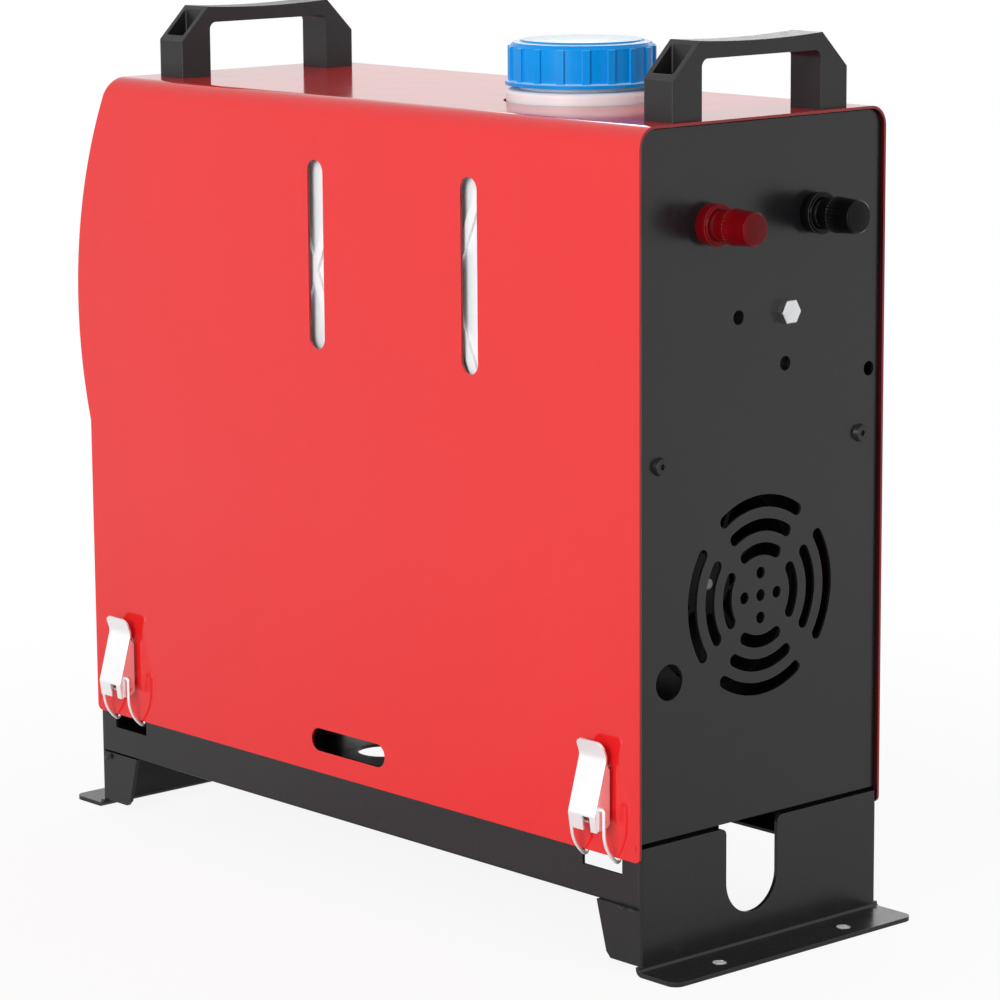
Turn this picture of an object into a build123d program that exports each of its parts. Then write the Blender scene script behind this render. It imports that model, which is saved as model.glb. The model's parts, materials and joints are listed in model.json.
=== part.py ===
"""Portable diesel air heater: a red lift-off cover over a tank, a heater core and a steel base.

Millimetres.  +X points to the intake grille and terminals (rear), -X to the warm-air outlet
(front), +Z up.  The origin is on the floor, under the middle of the cover.
"""
from build123d import *
import os
from math import pi, sqrt

os.makedirs("parts", exist_ok=True)

# ---------------------------------------------------------------- driving sizes: the outside
COVER_LENGTH = 390.0        # straight length of the red cover, along X
COVER_WIDTH = 150.0         # over its two sides, along Y
COVER_TOP = 366.0           # height of its top face above the floor
COVER_BOTTOM = 50.4         # height of its lower edge
COVER_SHEET = 1.2           # steel sheet
COVER_BEND = 9.0            # outer radius of the two top bends
COVER_CORNER = 3.0          # radius on the lower corners of each side

BULGE_OUT = 8.0             # how far the curved front stands past the straight front edge
BULGE_RADIUS = 222.0        # radius of that curve
BULGE_DROP = 110.6          # its crest, below the cover's top

# ---------------------------------------------------------------- driving sizes: the base
TRAY_SHEET = 1.5
TRAY_BEND = 1.5             # outer radius where the floor turns up into the rails
TRAY_BOTTOM = 29.2          # underside of the tray above the floor
TRAY_TOP = 58.0             # top of the tray's rails, hidden inside the cover
TRAY_SETBACK = 0.5          # tray's ends inside the faces of the end panels
TRAY_LIP = 12.0             # lips turned in at both ends, which the end panels are screwed to
SERVICE_LENGTH = 92.0       # large opening in the floor at the intake end
SERVICE_HALF = 57.0
SERVICE_CORNER = 6.0
LINE_HOLE = 13.0            # radius of the fuel line's hole
LINE_HOLE_AT = (-92.0, 24.0)
RAIL_INSET = 1.5            # rail face inside the cover's outer face
LEG_SHEET = 2.0
LEG_TOP = 56.3
LEG_FLANGE = 22.5           # foot flange past the leg plate
FLANGE_CORNER = 5.0
FOOT_BEND = 1.4             # inner radius where the plate turns out into the foot
LEG_BEND = 1.2              # outer radius where the plate turns back into its gussets
GUSSET_LIFT = 4.0           # side gussets end above the floor
GUSSET_SEAM = 0.3           # left between a gusset and the tray
GUSSET_TOP = 28.2           # length of a gusset at the tray
GUSSET_FOOT = 22.1          # and at its lower corner
GUSSET_CORNER = 2.6         # cut off that corner
NOTCH_WIDTH = 32.0          # U-shaped notch in each leg
NOTCH_BOTTOM = 15.6
NOTCH_Y = -6.0
NOTCH_SHOULDER = 3.0        # radius at the notch's upper corners
FOOT_HOLE = 6.5             # bolt holes in the foot flanges
FOOT_HOLE_SPAN = 78.0
FOOT_HOLE_OUT = 13.0        # from the leg plate's outer face
LATCH_X = 170.0             # latches and their slots, either side of the middle
SLOT_WIDTH = 25.0
SLOT_BOTTOM = 42.8
LATCH_HOOK_UP = 1.0         # the bails hook in this far above the cover's edge

# ---------------------------------------------------------------- driving sizes: the two pipes
EXHAUST_X, INTAKE_X = -30.0, 56.0
EXHAUST_RADIUS, INTAKE_RADIUS = 11.7, 11.7
PIPE_WALL = 1.2
PIPE_FOOT = 12.0            # the pipes end this far above the floor
PORT_FIT = 0.1              # radial, between a pipe and its cast port
JACKET_HOLE_GAP = 3.3       # radial, from a pipe to the jacket, to the tray and to the stand
TRAY_HOLE_GAP = 6.3
STAND_HOLE_GAP = 8.3

# ---------------------------------------------------------------- driving sizes: end panels
PANEL_SHEET = 1.5
PANEL_INSET = 2.0           # panel face inside the cover's ends
PANEL_GAP = 0.5             # all round, to the inside of the cover
PANEL_FLANGE = 10.0         # depth of the folded edges
PANEL_SCREW_IN = 6.5        # screws of the end panels, in from their faces
PANEL_SCREW_Y = 45.0
WIRE_RADIUS = 0.8           # latch wire, which passes the front panel when the cover lifts
WIRE_CLEAR = 0.4
FAN_Z = 157.0               # height of the grille, fan, heater and outlet
GRILLE_RINGS = 3
GRILLE_FIRST = 20.5         # centre radius of the inner ring of slots
GRILLE_PITCH = 10.6
GRILLE_SLOT = 5.6
GRILLE_SPAN = 72.0          # each slot's overall angle
GRILLE_DOT = 5.3
GRILLE_DOT_RING = 10.0
CABLE_HOLE = 16.0
CABLE_HOLE_AT = (-55.5, 126.8)
SPARE_HOLE = 6.5
SPARE_HOLES_AT = ((-14.3, 280.4), (14.5, 257.6), (67.5, 249.7))
EARTH_BOLT_AT = (14.5, 280.4)
SHELF_SCREW_Y = 61.7
SHELF_SCREW_Z = 221.5
FRONT_SCREW_Z = 191.0

# ---------------------------------------------------------------- driving sizes: tank and cap
SHELF_Z = 213.5             # underside of the shelf that carries the tank
TANK_FRONT, TANK_REAR = -165.0, 165.0
TANK_HALF = 70.5
TANK_TOP = 358.0
TANK_WALL = 3.0
TANK_ROUND = 15.0
TANK_RIB = 1.5              # height of the crossed ribs on its sides
TANK_CELLS = 6
TANK_RIB_WIDTH = 5.0
FILLER_X = 80.0
NECK_RADIUS = 27.9
NECK_WALL = 4.4
NECK_TOP = 387.4
SHOULDER_OUT = 6.1          # white ring under the cap, out from the neck
SHOULDER_TOP = 371.4
SHOULDER_ROUND = 2.0
SPIGOT_RADIUS, SPIGOT_BORE = 4.0, 2.0   # fuel outlet low on the tank's rear wall
SPIGOT_LENGTH = 12.0
SPIGOT_UP = 11.0            # above the shelf
CAP_FIT = 0.35              # radial, between the neck and the cap
CAP_WALL = 4.15
CAP_RIDGE = 0.9
CAP_RIDGES = 18
CAP_RIDGE_WIDTH = 3.4
CAP_LIP_OUT = 2.0           # lip at the cap's lower edge, out from its skirt
CAP_LIP_HEIGHT = 1.6
CAP_BOTTOM, CAP_TOP = 373.2, 392.0
CAP_CHAMFER = 1.6
CAP_RIM = (4.5, 5.2)        # the flat rim's inner edge and the dome's edge, in from the skirt
CAP_STEP = (0.3, 1.1)       # and their heights above the top
CAP_CROWN = 1.2             # rise of the domed top
CAP_HOLE_GAP = 0.9          # the cover passes over the cap's lip with this to spare

# ---------------------------------------------------------------- driving sizes: fits
RUN_FIT = 0.05              # radial, between a pin and the piece that turns on it
SLIP_FIT = 0.25             # around pieces that pass through a sheet
SCREW_RADIUS = 2.0          # M4 button-head socket screws
SCREW_HEAD = 4.1
SCREW_HEAD_HEIGHT = 2.3
SCREW_DOME = 18             # taper of the head, in degrees
SCREW_HEX = 1.5             # radius and depth of the socket
SCREW_HEX_DEPTH = 1.4
SCREW_LENGTH = 8.0
PAN_HEAD = 3.8              # the plain screws that hold the end panels to the tray
PAN_LENGTH = 7.0
PRESS_GAP = 0.05            # left between pieces that are clamped together

half_width = COVER_WIDTH / 2
inner_half = half_width - COVER_SHEET
front_x, rear_x = -COVER_LENGTH / 2, COVER_LENGTH / 2
bulge_x = front_x - BULGE_OUT + BULGE_RADIUS
bulge_z = COVER_TOP - BULGE_DROP
rail_half = half_width - RAIL_INSET
panel_x = rear_x - PANEL_INSET
tray_end = panel_x - TRAY_SETBACK
tray_floor = TRAY_BOTTOM + TRAY_SHEET
lip_middle = tray_end - TRAY_LIP / 2
latch_bar_z = COVER_BOTTOM + LATCH_HOOK_UP
leg_x = tray_end + LEG_SHEET
panel_half = inner_half - PANEL_GAP
front_half = rail_half - 2 * WIRE_RADIUS - WIRE_CLEAR
panel_top = COVER_TOP - COVER_SHEET - PANEL_GAP
panel_screw_x = panel_x - PANEL_SCREW_IN


def write(piece, label):
    """Name a finished sub-part and write its STEP file."""
    piece.part.label = label
    export_step(piece.part, f"parts/{label}.step")


def front_at(z, inset):
    """X of the curved front at height z, `inset` inside the cover's edge."""
    return bulge_x - sqrt((BULGE_RADIUS - inset) ** 2 - (z - bulge_z) ** 2)


def side_profile(inset, rear, bottom, top):
    """Side view for a sketch on Plane.XZ, with its front edge `inset` inside the cover's."""
    radius = BULGE_RADIUS - inset
    knee = bulge_z - sqrt(radius**2 - (radius - BULGE_OUT) ** 2)
    middle = (knee + top) / 2
    with BuildSketch() as profile:
        with BuildLine():
            Polyline(
                (front_at(top, inset), top), (rear, top), (rear, bottom),
                (front_x + inset, bottom), (front_x + inset, knee),
            )
            ThreePointArc(
                (front_x + inset, knee), (front_at(middle, inset), middle), (front_at(top, inset), top)
            )
        make_face()
    return profile.sketch


def arch(half, bottom, top, radius):
    """End view for a sketch on Plane.YZ: square feet and two rounded shoulders."""
    with BuildSketch() as profile:
        with Locations((0, (bottom + top) / 2)):
            Rectangle(2 * half, top - bottom)
        fillet(profile.vertices().group_by(Axis.Y)[-1], radius)
    return profile.sketch


def crown(radius, height, rise):
    """Three points of a shallow dome's section, from its rim to its top on the axis."""
    sphere = (radius**2 + rise**2) / (2 * rise)
    middle = sqrt(sphere**2 - (radius / 2) ** 2) - sphere + rise
    return (radius, height), (radius / 2, height + middle), (0, height + rise)


def ring(outer, inner):
    """Face: a flat ring about the sketch's origin."""
    Circle(outer)
    Circle(inner, mode=Mode.SUBTRACT)


def pipe_holes(gap, mode=Mode.ADD):
    """Circle about each pipe, `gap` outside it, in a sketch that faces along Z."""
    for x, radius in ((EXHAUST_X, EXHAUST_RADIUS), (INTAKE_X, INTAKE_RADIUS)):
        with Locations((x, 0)):
            Circle(radius + gap, mode=mode)


def across(x):
    """Sketch plane square to X at x, with local x along +Y and local y up."""
    return Plane.YZ.offset(x)


def on_axis(x, y=0.0, z=FAN_Z):
    """Sketch plane square to X, centred on an axis along X at (y, z)."""
    return Plane(origin=(x, y, z), x_dir=(0, 1, 0), z_dir=(1, 0, 0))


# ================================================================ the base
with BuildPart() as base_tray:
    with BuildSketch(Plane.XY.offset(TRAY_BOTTOM)):
        Rectangle(2 * tray_end, 2 * rail_half)
    extrude(amount=TRAY_TOP - TRAY_BOTTOM)
    fillet(base_tray.edges().group_by(Axis.Z)[0].filter_by(Axis.X), TRAY_BEND)
    with BuildSketch(Plane.XY.offset(tray_floor)):
        Rectangle(2 * (tray_end - TRAY_SHEET), 2 * (rail_half - TRAY_SHEET))
    extrude(amount=TRAY_TOP, mode=Mode.SUBTRACT)
    with BuildSketch(Plane.XY.offset(TRAY_TOP - TRAY_SHEET)):
        with Locations((lip_middle, 0), (-lip_middle, 0)):
            Rectangle(TRAY_LIP, 2 * rail_half)
    extrude(amount=TRAY_SHEET)
    # openings in the floor: a large one at the intake end, the two pipes and the fuel line
    with BuildSketch(Plane.XY.offset(TRAY_BOTTOM)):
        with Locations((tray_end - TRAY_LIP - SERVICE_LENGTH / 2, 0)):
            RectangleRounded(SERVICE_LENGTH, 2 * SERVICE_HALF, SERVICE_CORNER)
        pipe_holes(TRAY_HOLE_GAP)
        with Locations(LINE_HOLE_AT):
            Circle(LINE_HOLE)
        with Locations((lip_middle, NOTCH_Y), (-lip_middle, NOTCH_Y)):
            Rectangle(TRAY_LIP + 1, NOTCH_WIDTH)
    extrude(amount=TRAY_SHEET, mode=Mode.SUBTRACT)
    # latch slots in both rails, notches in both end walls
    slot_top = latch_bar_z + WIRE_RADIUS + SLIP_FIT
    with BuildSketch(Plane.XZ):
        with Locations((LATCH_X, (SLOT_BOTTOM + slot_top) / 2), (-LATCH_X, (SLOT_BOTTOM + slot_top) / 2)):
            Rectangle(SLOT_WIDTH, slot_top - SLOT_BOTTOM)
    extrude(amount=COVER_WIDTH, both=True, mode=Mode.SUBTRACT)
    with BuildSketch(Plane.YZ):
        with Locations((NOTCH_Y, TRAY_TOP)):
            Rectangle(NOTCH_WIDTH, 2 * (TRAY_TOP - TRAY_BOTTOM - TRAY_SHEET))
    extrude(amount=COVER_LENGTH, both=True, mode=Mode.SUBTRACT)
    # the lips take the screws of the end panels
    with Locations((panel_screw_x, 0, TRAY_TOP), (-panel_screw_x, 0, TRAY_TOP)):
        with GridLocations(1, 2 * PANEL_SCREW_Y, 1, 2):
            Hole(SCREW_RADIUS + RUN_FIT, depth=TRAY_SHEET + 1)
write(base_tray, "base_tray")


with BuildPart() as rear_leg:
    with BuildSketch(Plane.XZ) as leg_section:
        with BuildLine():
            Polyline(
                (tray_end, 0), (leg_x + LEG_FLANGE, 0), (leg_x + LEG_FLANGE, LEG_SHEET),
                (leg_x, LEG_SHEET), (leg_x, LEG_TOP), (tray_end, LEG_TOP), close=True,
            )
        make_face()
        fillet(leg_section.vertices().sort_by_distance((leg_x, LEG_SHEET, 0))[0], FOOT_BEND)
        fillet(leg_section.vertices().sort_by_distance((tray_end, 0, 0))[0], FOOT_BEND + LEG_SHEET)
    extrude(amount=half_width, both=True)
    fillet(rear_leg.edges().filter_by(Axis.Z).group_by(Axis.X)[-1], FLANGE_CORNER)
    # above the foot the plate is as wide as the tray
    side_trim = half_width - rail_half
    with BuildSketch(Plane.YZ.offset(tray_end - 1)):
        with Locations((half_width, LEG_TOP), (-half_width, LEG_TOP)):
            Rectangle(2 * side_trim, 2 * (LEG_TOP - GUSSET_LIFT))
    extrude(amount=LEG_SHEET + 2, mode=Mode.SUBTRACT)
    # side gussets, folded in under the tray and flush with its rails
    for side in (1, -1):
        with BuildSketch(Plane.XZ.offset(side * rail_half)):
            with BuildLine():
                Polyline(
                    (leg_x, GUSSET_LIFT), (leg_x, TRAY_BOTTOM - GUSSET_SEAM),
                    (leg_x - GUSSET_TOP, TRAY_BOTTOM - GUSSET_SEAM),
                    (leg_x - GUSSET_FOOT, GUSSET_LIFT + GUSSET_CORNER),
                    (leg_x - GUSSET_FOOT + GUSSET_CORNER, GUSSET_LIFT), close=True,
                )
            make_face()
        extrude(amount=-side * LEG_SHEET)
    fillet(
        rear_leg.edges().filter_by(Axis.Z).filter_by(
            lambda edge: abs(edge.center().X - leg_x) < 0.01 and abs(abs(edge.center().Y) - rail_half) < 0.01
        ),
        LEG_BEND,
    )
    with BuildSketch(Plane.YZ.offset(tray_end - 1)):
        with Locations((NOTCH_Y, NOTCH_BOTTOM + NOTCH_WIDTH / 2)):
            Circle(NOTCH_WIDTH / 2)
        with Locations((NOTCH_Y, LEG_TOP)):
            Rectangle(NOTCH_WIDTH, 2 * (LEG_TOP - NOTCH_BOTTOM - NOTCH_WIDTH / 2))
    extrude(amount=LEG_SHEET + 2, mode=Mode.SUBTRACT)
    notch_shoulders = rear_leg.edges().filter_by(Axis.X).group_by(Axis.Z)[-1]
    fillet(notch_shoulders.sort_by_distance((leg_x, NOTCH_Y, LEG_TOP))[:2], NOTCH_SHOULDER)
    with Locations((leg_x + FOOT_HOLE_OUT, 0, LEG_SHEET)):
        with GridLocations(1, FOOT_HOLE_SPAN, 1, 2):
            Hole(FOOT_HOLE / 2)
write(rear_leg, "rear_leg")

with BuildPart() as front_leg:
    add(rear_leg.part)
    mirror(about=Plane.YZ, mode=Mode.REPLACE)
write(front_leg, "front_leg")


# ================================================================ the end panels
def shelf_screw_planes():
    """Planes of the four screws that hold the shelf, looking out of the end panels."""
    rear = [on_axis(panel_x, y, SHELF_SCREW_Z) for y in (-SHELF_SCREW_Y, SHELF_SCREW_Y)]
    front = [
        Plane(origin=(-panel_x, y, FRONT_SCREW_Z), x_dir=(0, 1, 0), z_dir=(-1, 0, 0))
        for y in (-SHELF_SCREW_Y, SHELF_SCREW_Y)
    ]
    return rear + front


TERMINAL_Y, TERMINAL_Z = 31.5, 322.0
TERMINAL_SPIGOT = 6.0       # insulator's neck through the panel
EARTH_BOLT = 3.0

def grille_slots():
    """The rings of arc-shaped slots in the intake grille, about the plane's own middle."""
    with BuildSketch() as slots:
        for step in range(GRILLE_RINGS):
            ring_radius = GRILLE_FIRST + step * GRILLE_PITCH
            half_angle = GRILLE_SPAN / 2 - 180 / pi * GRILLE_SLOT / 2 / ring_radius
            for quarter in range(4):
                start = 90 * quarter - half_angle
                slot_line = CenterArc((0, 0), ring_radius, start, 2 * half_angle, mode=Mode.PRIVATE)
                SlotArc(slot_line, GRILLE_SLOT)
    return slots.sketch


with BuildPart() as rear_panel:
    with BuildSketch(across(panel_x - PANEL_FLANGE)):
        add(arch(panel_half, TRAY_TOP, panel_top, COVER_BEND - COVER_SHEET - PANEL_GAP))
    extrude(amount=PANEL_FLANGE)
    with BuildSketch(across(panel_x - PANEL_FLANGE)):
        add(arch(
            panel_half - PANEL_SHEET, TRAY_TOP + PANEL_SHEET, panel_top - PANEL_SHEET,
            COVER_BEND - COVER_SHEET - PANEL_GAP - PANEL_SHEET,
        ))
        # no fold along the top, where the rear handle's screws come through
        with Locations((0, panel_top)):
            Rectangle(2 * (panel_half - PANEL_FLANGE), 4 * PANEL_SHEET)
    extrude(amount=PANEL_FLANGE - PANEL_SHEET, mode=Mode.SUBTRACT)
    # intake grille: a dot, four dots and three rings of four arc-shaped slots
    with BuildSketch(on_axis(panel_x)):
        Circle(GRILLE_DOT / 2)
        with PolarLocations(GRILLE_DOT_RING, 4):
            Circle(GRILLE_DOT / 2)
        add(grille_slots())
    extrude(amount=-PANEL_SHEET, mode=Mode.SUBTRACT)
    with BuildSketch(across(panel_x)):
        with Locations(CABLE_HOLE_AT):
            Circle(CABLE_HOLE / 2)
        with Locations(*SPARE_HOLES_AT):
            Circle(SPARE_HOLE / 2)
        with Locations(EARTH_BOLT_AT):
            Circle(EARTH_BOLT + SLIP_FIT)
        with Locations((TERMINAL_Y, TERMINAL_Z), (-TERMINAL_Y, TERMINAL_Z)):
            Circle(TERMINAL_SPIGOT + SLIP_FIT)
        with Locations((SHELF_SCREW_Y, SHELF_SCREW_Z), (-SHELF_SCREW_Y, SHELF_SCREW_Z)):
            Circle(SCREW_RADIUS + SLIP_FIT)
    extrude(amount=-PANEL_SHEET, mode=Mode.SUBTRACT)
    with Locations((panel_screw_x, 0, TRAY_TOP + PANEL_SHEET)):
        with GridLocations(1, 2 * PANEL_SCREW_Y, 1, 2):
            Hole(SCREW_RADIUS + SLIP_FIT, depth=PANEL_SHEET + 1)
write(rear_panel, "rear_panel")


CONTROL_Z = 258.0           # middle of the control panel, on the crest of the bulge
CONTROL_WIDTH, CONTROL_HEIGHT = 96.0, 54.0
CONTROL_CORNER = 6.0
OUTLET_TUBE = 36.0          # outer radius of the warm-air collar through the front panel
OUTLET_FLANGE = 38.5

with BuildPart() as front_panel:
    with BuildSketch(Plane.XZ):
        add(side_profile(PANEL_INSET, 0, TRAY_TOP, panel_top))
    extrude(amount=front_half, both=True)
    with BuildSketch(Plane.XZ):
        add(side_profile(PANEL_INSET + PANEL_FLANGE, 1, TRAY_TOP - 1, panel_top + 1))
    extrude(amount=COVER_WIDTH, both=True, mode=Mode.SUBTRACT)
    with BuildSketch(Plane.XZ):
        add(side_profile(PANEL_INSET + PANEL_SHEET, 1, TRAY_TOP + PANEL_SHEET, panel_top - PANEL_SHEET))
    extrude(amount=front_half - PANEL_SHEET, both=True, mode=Mode.SUBTRACT)
    with BuildSketch(across(-COVER_LENGTH)):
        add(arch(front_half, TRAY_TOP, panel_top, COVER_BEND - COVER_SHEET - PANEL_GAP))
    extrude(amount=COVER_LENGTH, mode=Mode.INTERSECT)
    with BuildSketch(across(-COVER_LENGTH)):
        with Locations((0, CONTROL_Z)):
            RectangleRounded(
                CONTROL_WIDTH + 2 * SLIP_FIT, CONTROL_HEIGHT + 2 * SLIP_FIT, CONTROL_CORNER + SLIP_FIT
            )
        with Locations((0, FAN_Z)):
            Circle(OUTLET_TUBE + SLIP_FIT)
        with Locations((SHELF_SCREW_Y, FRONT_SCREW_Z), (-SHELF_SCREW_Y, FRONT_SCREW_Z)):
            Circle(SCREW_RADIUS + SLIP_FIT)
    extrude(amount=COVER_LENGTH, mode=Mode.SUBTRACT)
    with Locations((-panel_screw_x, 0, TRAY_TOP + PANEL_SHEET)):
        with GridLocations(1, 2 * PANEL_SCREW_Y, 1, 2):
            Hole(SCREW_RADIUS + SLIP_FIT, depth=PANEL_SHEET + 1)
write(front_panel, "front_panel")

with BuildPart() as socket_screws:
    for seat in shelf_screw_planes():
        with BuildSketch(seat):
            Circle(SCREW_HEAD)
        extrude(amount=SCREW_HEAD_HEIGHT, taper=SCREW_DOME)
        with BuildSketch(seat):
            Circle(SCREW_RADIUS)
        extrude(amount=-SCREW_LENGTH)
        with BuildSketch(seat.offset(SCREW_HEAD_HEIGHT)):
            RegularPolygon(SCREW_HEX, 6)
        extrude(amount=-SCREW_HEX_DEPTH, mode=Mode.SUBTRACT)
write(socket_screws, "socket_screws")

with BuildPart() as panel_screws:
    for end in (panel_screw_x, -panel_screw_x):
        for y in (-PANEL_SCREW_Y, PANEL_SCREW_Y):
            seat = Plane(origin=(end, y, TRAY_TOP + PANEL_SHEET))
            with BuildSketch(seat):
                Circle(PAN_HEAD)
            extrude(amount=SCREW_HEAD_HEIGHT, taper=SCREW_DOME)
            with BuildSketch(seat):
                Circle(SCREW_RADIUS)
            extrude(amount=-PAN_LENGTH)
write(panel_screws, "panel_screws")


# ================================================================ the tank, its shelf and its cap
shelf_end = panel_x - PANEL_SHEET
SHELF_SHEET = 1.5
SHELF_HALF = 69.0
SHELF_TAB = 8.0             # its end tabs reach this far past their screws
SHELF_LIP = 8.0             # lips along its sides, which stop short of both ends
SHELF_LIP_STOP = 15.0
SHELF_HOLES = 4
SHELF_HOLE = (46.0, 60.0)
SHELF_HOLE_PITCH = 80.0
SHELF_HOLE_CORNER = 8.0
REAR_TAB_GAP = (70.0, 12.0)     # cut out between the rear tabs
shelf_top = SHELF_Z + SHELF_SHEET
outlet_gap = SHELF_SCREW_Y - 12.0       # radius of the gap in the front tab

with BuildPart() as tank_shelf:
    with BuildSketch(Plane.XZ):
        with BuildLine():
            Polyline(
                (shelf_end, SHELF_Z), (shelf_end, SHELF_SCREW_Z + SHELF_TAB),
                (shelf_end - SHELF_SHEET, SHELF_SCREW_Z + SHELF_TAB), (shelf_end - SHELF_SHEET, shelf_top),
                (-shelf_end, shelf_top), (-shelf_end, FRONT_SCREW_Z - SHELF_TAB),
                (-shelf_end + SHELF_SHEET, FRONT_SCREW_Z - SHELF_TAB), (-shelf_end + SHELF_SHEET, SHELF_Z),
                close=True,
            )
        make_face()
    extrude(amount=SHELF_HALF, both=True)
    for side in (1, -1):
        with BuildSketch(Plane.XZ.offset(side * SHELF_HALF)):
            with Locations((0, SHELF_Z - SHELF_LIP / 2)):
                Rectangle(2 * (shelf_end - SHELF_LIP_STOP), SHELF_LIP)
        extrude(amount=-side * SHELF_SHEET)
    # lightening holes between the heater and the tank, and a gap over the warm-air outlet
    with BuildSketch(Plane.XY.offset(SHELF_Z)):
        with GridLocations(SHELF_HOLE_PITCH, 0, SHELF_HOLES, 1):
            RectangleRounded(*SHELF_HOLE, SHELF_HOLE_CORNER)
    extrude(amount=SHELF_SHEET, mode=Mode.SUBTRACT)
    with BuildSketch(across(-shelf_end - 1)):
        with Locations((0, FRONT_SCREW_Z - SHELF_TAB)):
            Circle(outlet_gap)
        with Locations((SHELF_SCREW_Y, FRONT_SCREW_Z), (-SHELF_SCREW_Y, FRONT_SCREW_Z)):
            Circle(SCREW_RADIUS)
    extrude(amount=SHELF_SHEET + 1, mode=Mode.SUBTRACT)
    with BuildSketch(across(shelf_end)):
        with Locations((SHELF_SCREW_Y, SHELF_SCREW_Z), (-SHELF_SCREW_Y, SHELF_SCREW_Z)):
            Circle(SCREW_RADIUS)
        with Locations((0, SHELF_SCREW_Z + SHELF_TAB)):
            Rectangle(*REAR_TAB_GAP)
    extrude(amount=-SHELF_SHEET, mode=Mode.SUBTRACT)
write(tank_shelf, "tank_shelf")


tank_length = TANK_REAR - TANK_FRONT
tank_height = TANK_TOP - shelf_top
tank_centre = ((TANK_REAR + TANK_FRONT) / 2, 0, (TANK_TOP + shelf_top) / 2)
spigot_z = shelf_top + SPIGOT_UP

with BuildPart() as tank_cavity:
    with Locations(tank_centre):
        Box(tank_length - 2 * TANK_WALL, 2 * (TANK_HALF - TANK_WALL), tank_height - 2 * TANK_WALL)
    fillet(tank_cavity.edges(), TANK_ROUND - TANK_WALL)

with BuildPart() as fuel_tank:
    with Locations(tank_centre):
        Box(tank_length, 2 * TANK_HALF, tank_height)
    fillet(fuel_tank.edges(), TANK_ROUND)
    # crossed stiffening ribs moulded into both sides
    rib_length = tank_length - 3.2 * TANK_ROUND
    rib_height = tank_height - 2.6 * TANK_ROUND
    cell = rib_length / TANK_CELLS
    rib_angle = Vector(cell, rib_height, 0).get_angle(Vector(1, 0, 0))
    for side in (1, -1):
        wall = Plane(origin=tank_centre, z_dir=(0, -side, 0), x_dir=(1, 0, 0)).offset(TANK_HALF - 1)
        with BuildSketch(wall):
            with GridLocations(cell, 0, TANK_CELLS, 1):
                for tilt in (rib_angle, -rib_angle):
                    SlotOverall(sqrt(cell**2 + rib_height**2), TANK_RIB_WIDTH, rotation=tilt)
        extrude(amount=1 + TANK_RIB)
    with BuildSketch(Plane(origin=(FILLER_X, 0, TANK_TOP - TANK_WALL - 1))):
        Circle(NECK_RADIUS + SHOULDER_OUT)
    extrude(amount=SHOULDER_TOP - TANK_TOP + TANK_WALL + 1)
    fillet(fuel_tank.edges().group_by(Axis.Z)[-1], SHOULDER_ROUND)
    with BuildSketch(Plane(origin=(FILLER_X, 0, TANK_TOP))):
        Circle(NECK_RADIUS)
    extrude(amount=NECK_TOP - TANK_TOP)
    with BuildSketch(on_axis(TANK_REAR - 2, 0, spigot_z)):
        Circle(SPIGOT_RADIUS)
    extrude(amount=2 + SPIGOT_LENGTH)
    add(tank_cavity.part, mode=Mode.SUBTRACT)
    with BuildSketch(Plane(origin=(FILLER_X, 0, NECK_TOP))):
        Circle(NECK_RADIUS - NECK_WALL)
    extrude(amount=TANK_TOP - NECK_TOP - 2 * TANK_WALL, mode=Mode.SUBTRACT)
    with BuildSketch(on_axis(TANK_REAR + SPIGOT_LENGTH, 0, spigot_z)):
        Circle(SPIGOT_BORE)
    extrude(amount=-SPIGOT_LENGTH - 2 * TANK_WALL, mode=Mode.SUBTRACT)
write(fuel_tank, "fuel_tank")


GASKET_THICK = 1.8
GASKET_LIP = 1.0            # it reaches this far over the neck's bore
cap_roof = NECK_TOP + GASKET_THICK + 2 * PRESS_GAP
cap_bore = NECK_RADIUS + CAP_FIT
cap_skirt = cap_bore + CAP_WALL
cap_lip = cap_skirt + CAP_LIP_OUT

with BuildPart() as cap_gasket:
    with BuildSketch(Plane(origin=(FILLER_X, 0, NECK_TOP + PRESS_GAP))):
        ring(NECK_RADIUS - 0.2, NECK_RADIUS - NECK_WALL - GASKET_LIP)
    extrude(amount=GASKET_THICK)
write(cap_gasket, "cap_gasket")

with BuildPart() as filler_cap:
    rim, dome = [(cap_skirt - inwards, CAP_TOP + up) for inwards, up in zip(CAP_RIM, CAP_STEP)]
    with BuildSketch(Plane.XZ):
        with BuildLine():
            Polyline(
                (cap_bore, CAP_BOTTOM), (cap_lip, CAP_BOTTOM), (cap_lip, CAP_BOTTOM + CAP_LIP_HEIGHT),
                (cap_skirt, CAP_BOTTOM + CAP_LIP_HEIGHT + 0.6), (cap_skirt, CAP_TOP - CAP_CHAMFER),
                (cap_skirt - CAP_CHAMFER, CAP_TOP), rim, dome,
            )
            ThreePointArc(*crown(*dome, CAP_CROWN))
            Polyline((0, dome[1] + CAP_CROWN), (0, cap_roof), (cap_bore, cap_roof), (cap_bore, CAP_BOTTOM))
        make_face()
    revolve(axis=Axis.Z)
    ridge_root, ridge_end = 0.7, 1.8
    with BuildSketch(Plane.XY.offset(CAP_BOTTOM + ridge_end)):
        with PolarLocations(cap_skirt - ridge_root, CAP_RIDGES):
            Rectangle(2 * (CAP_RIDGE + ridge_root), CAP_RIDGE_WIDTH)
    extrude(amount=CAP_TOP - CAP_BOTTOM - 2 * ridge_end)
    add(filler_cap.part.moved(Location((FILLER_X, 0, 0))), mode=Mode.REPLACE)
write(filler_cap, "filler_cap")


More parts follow.
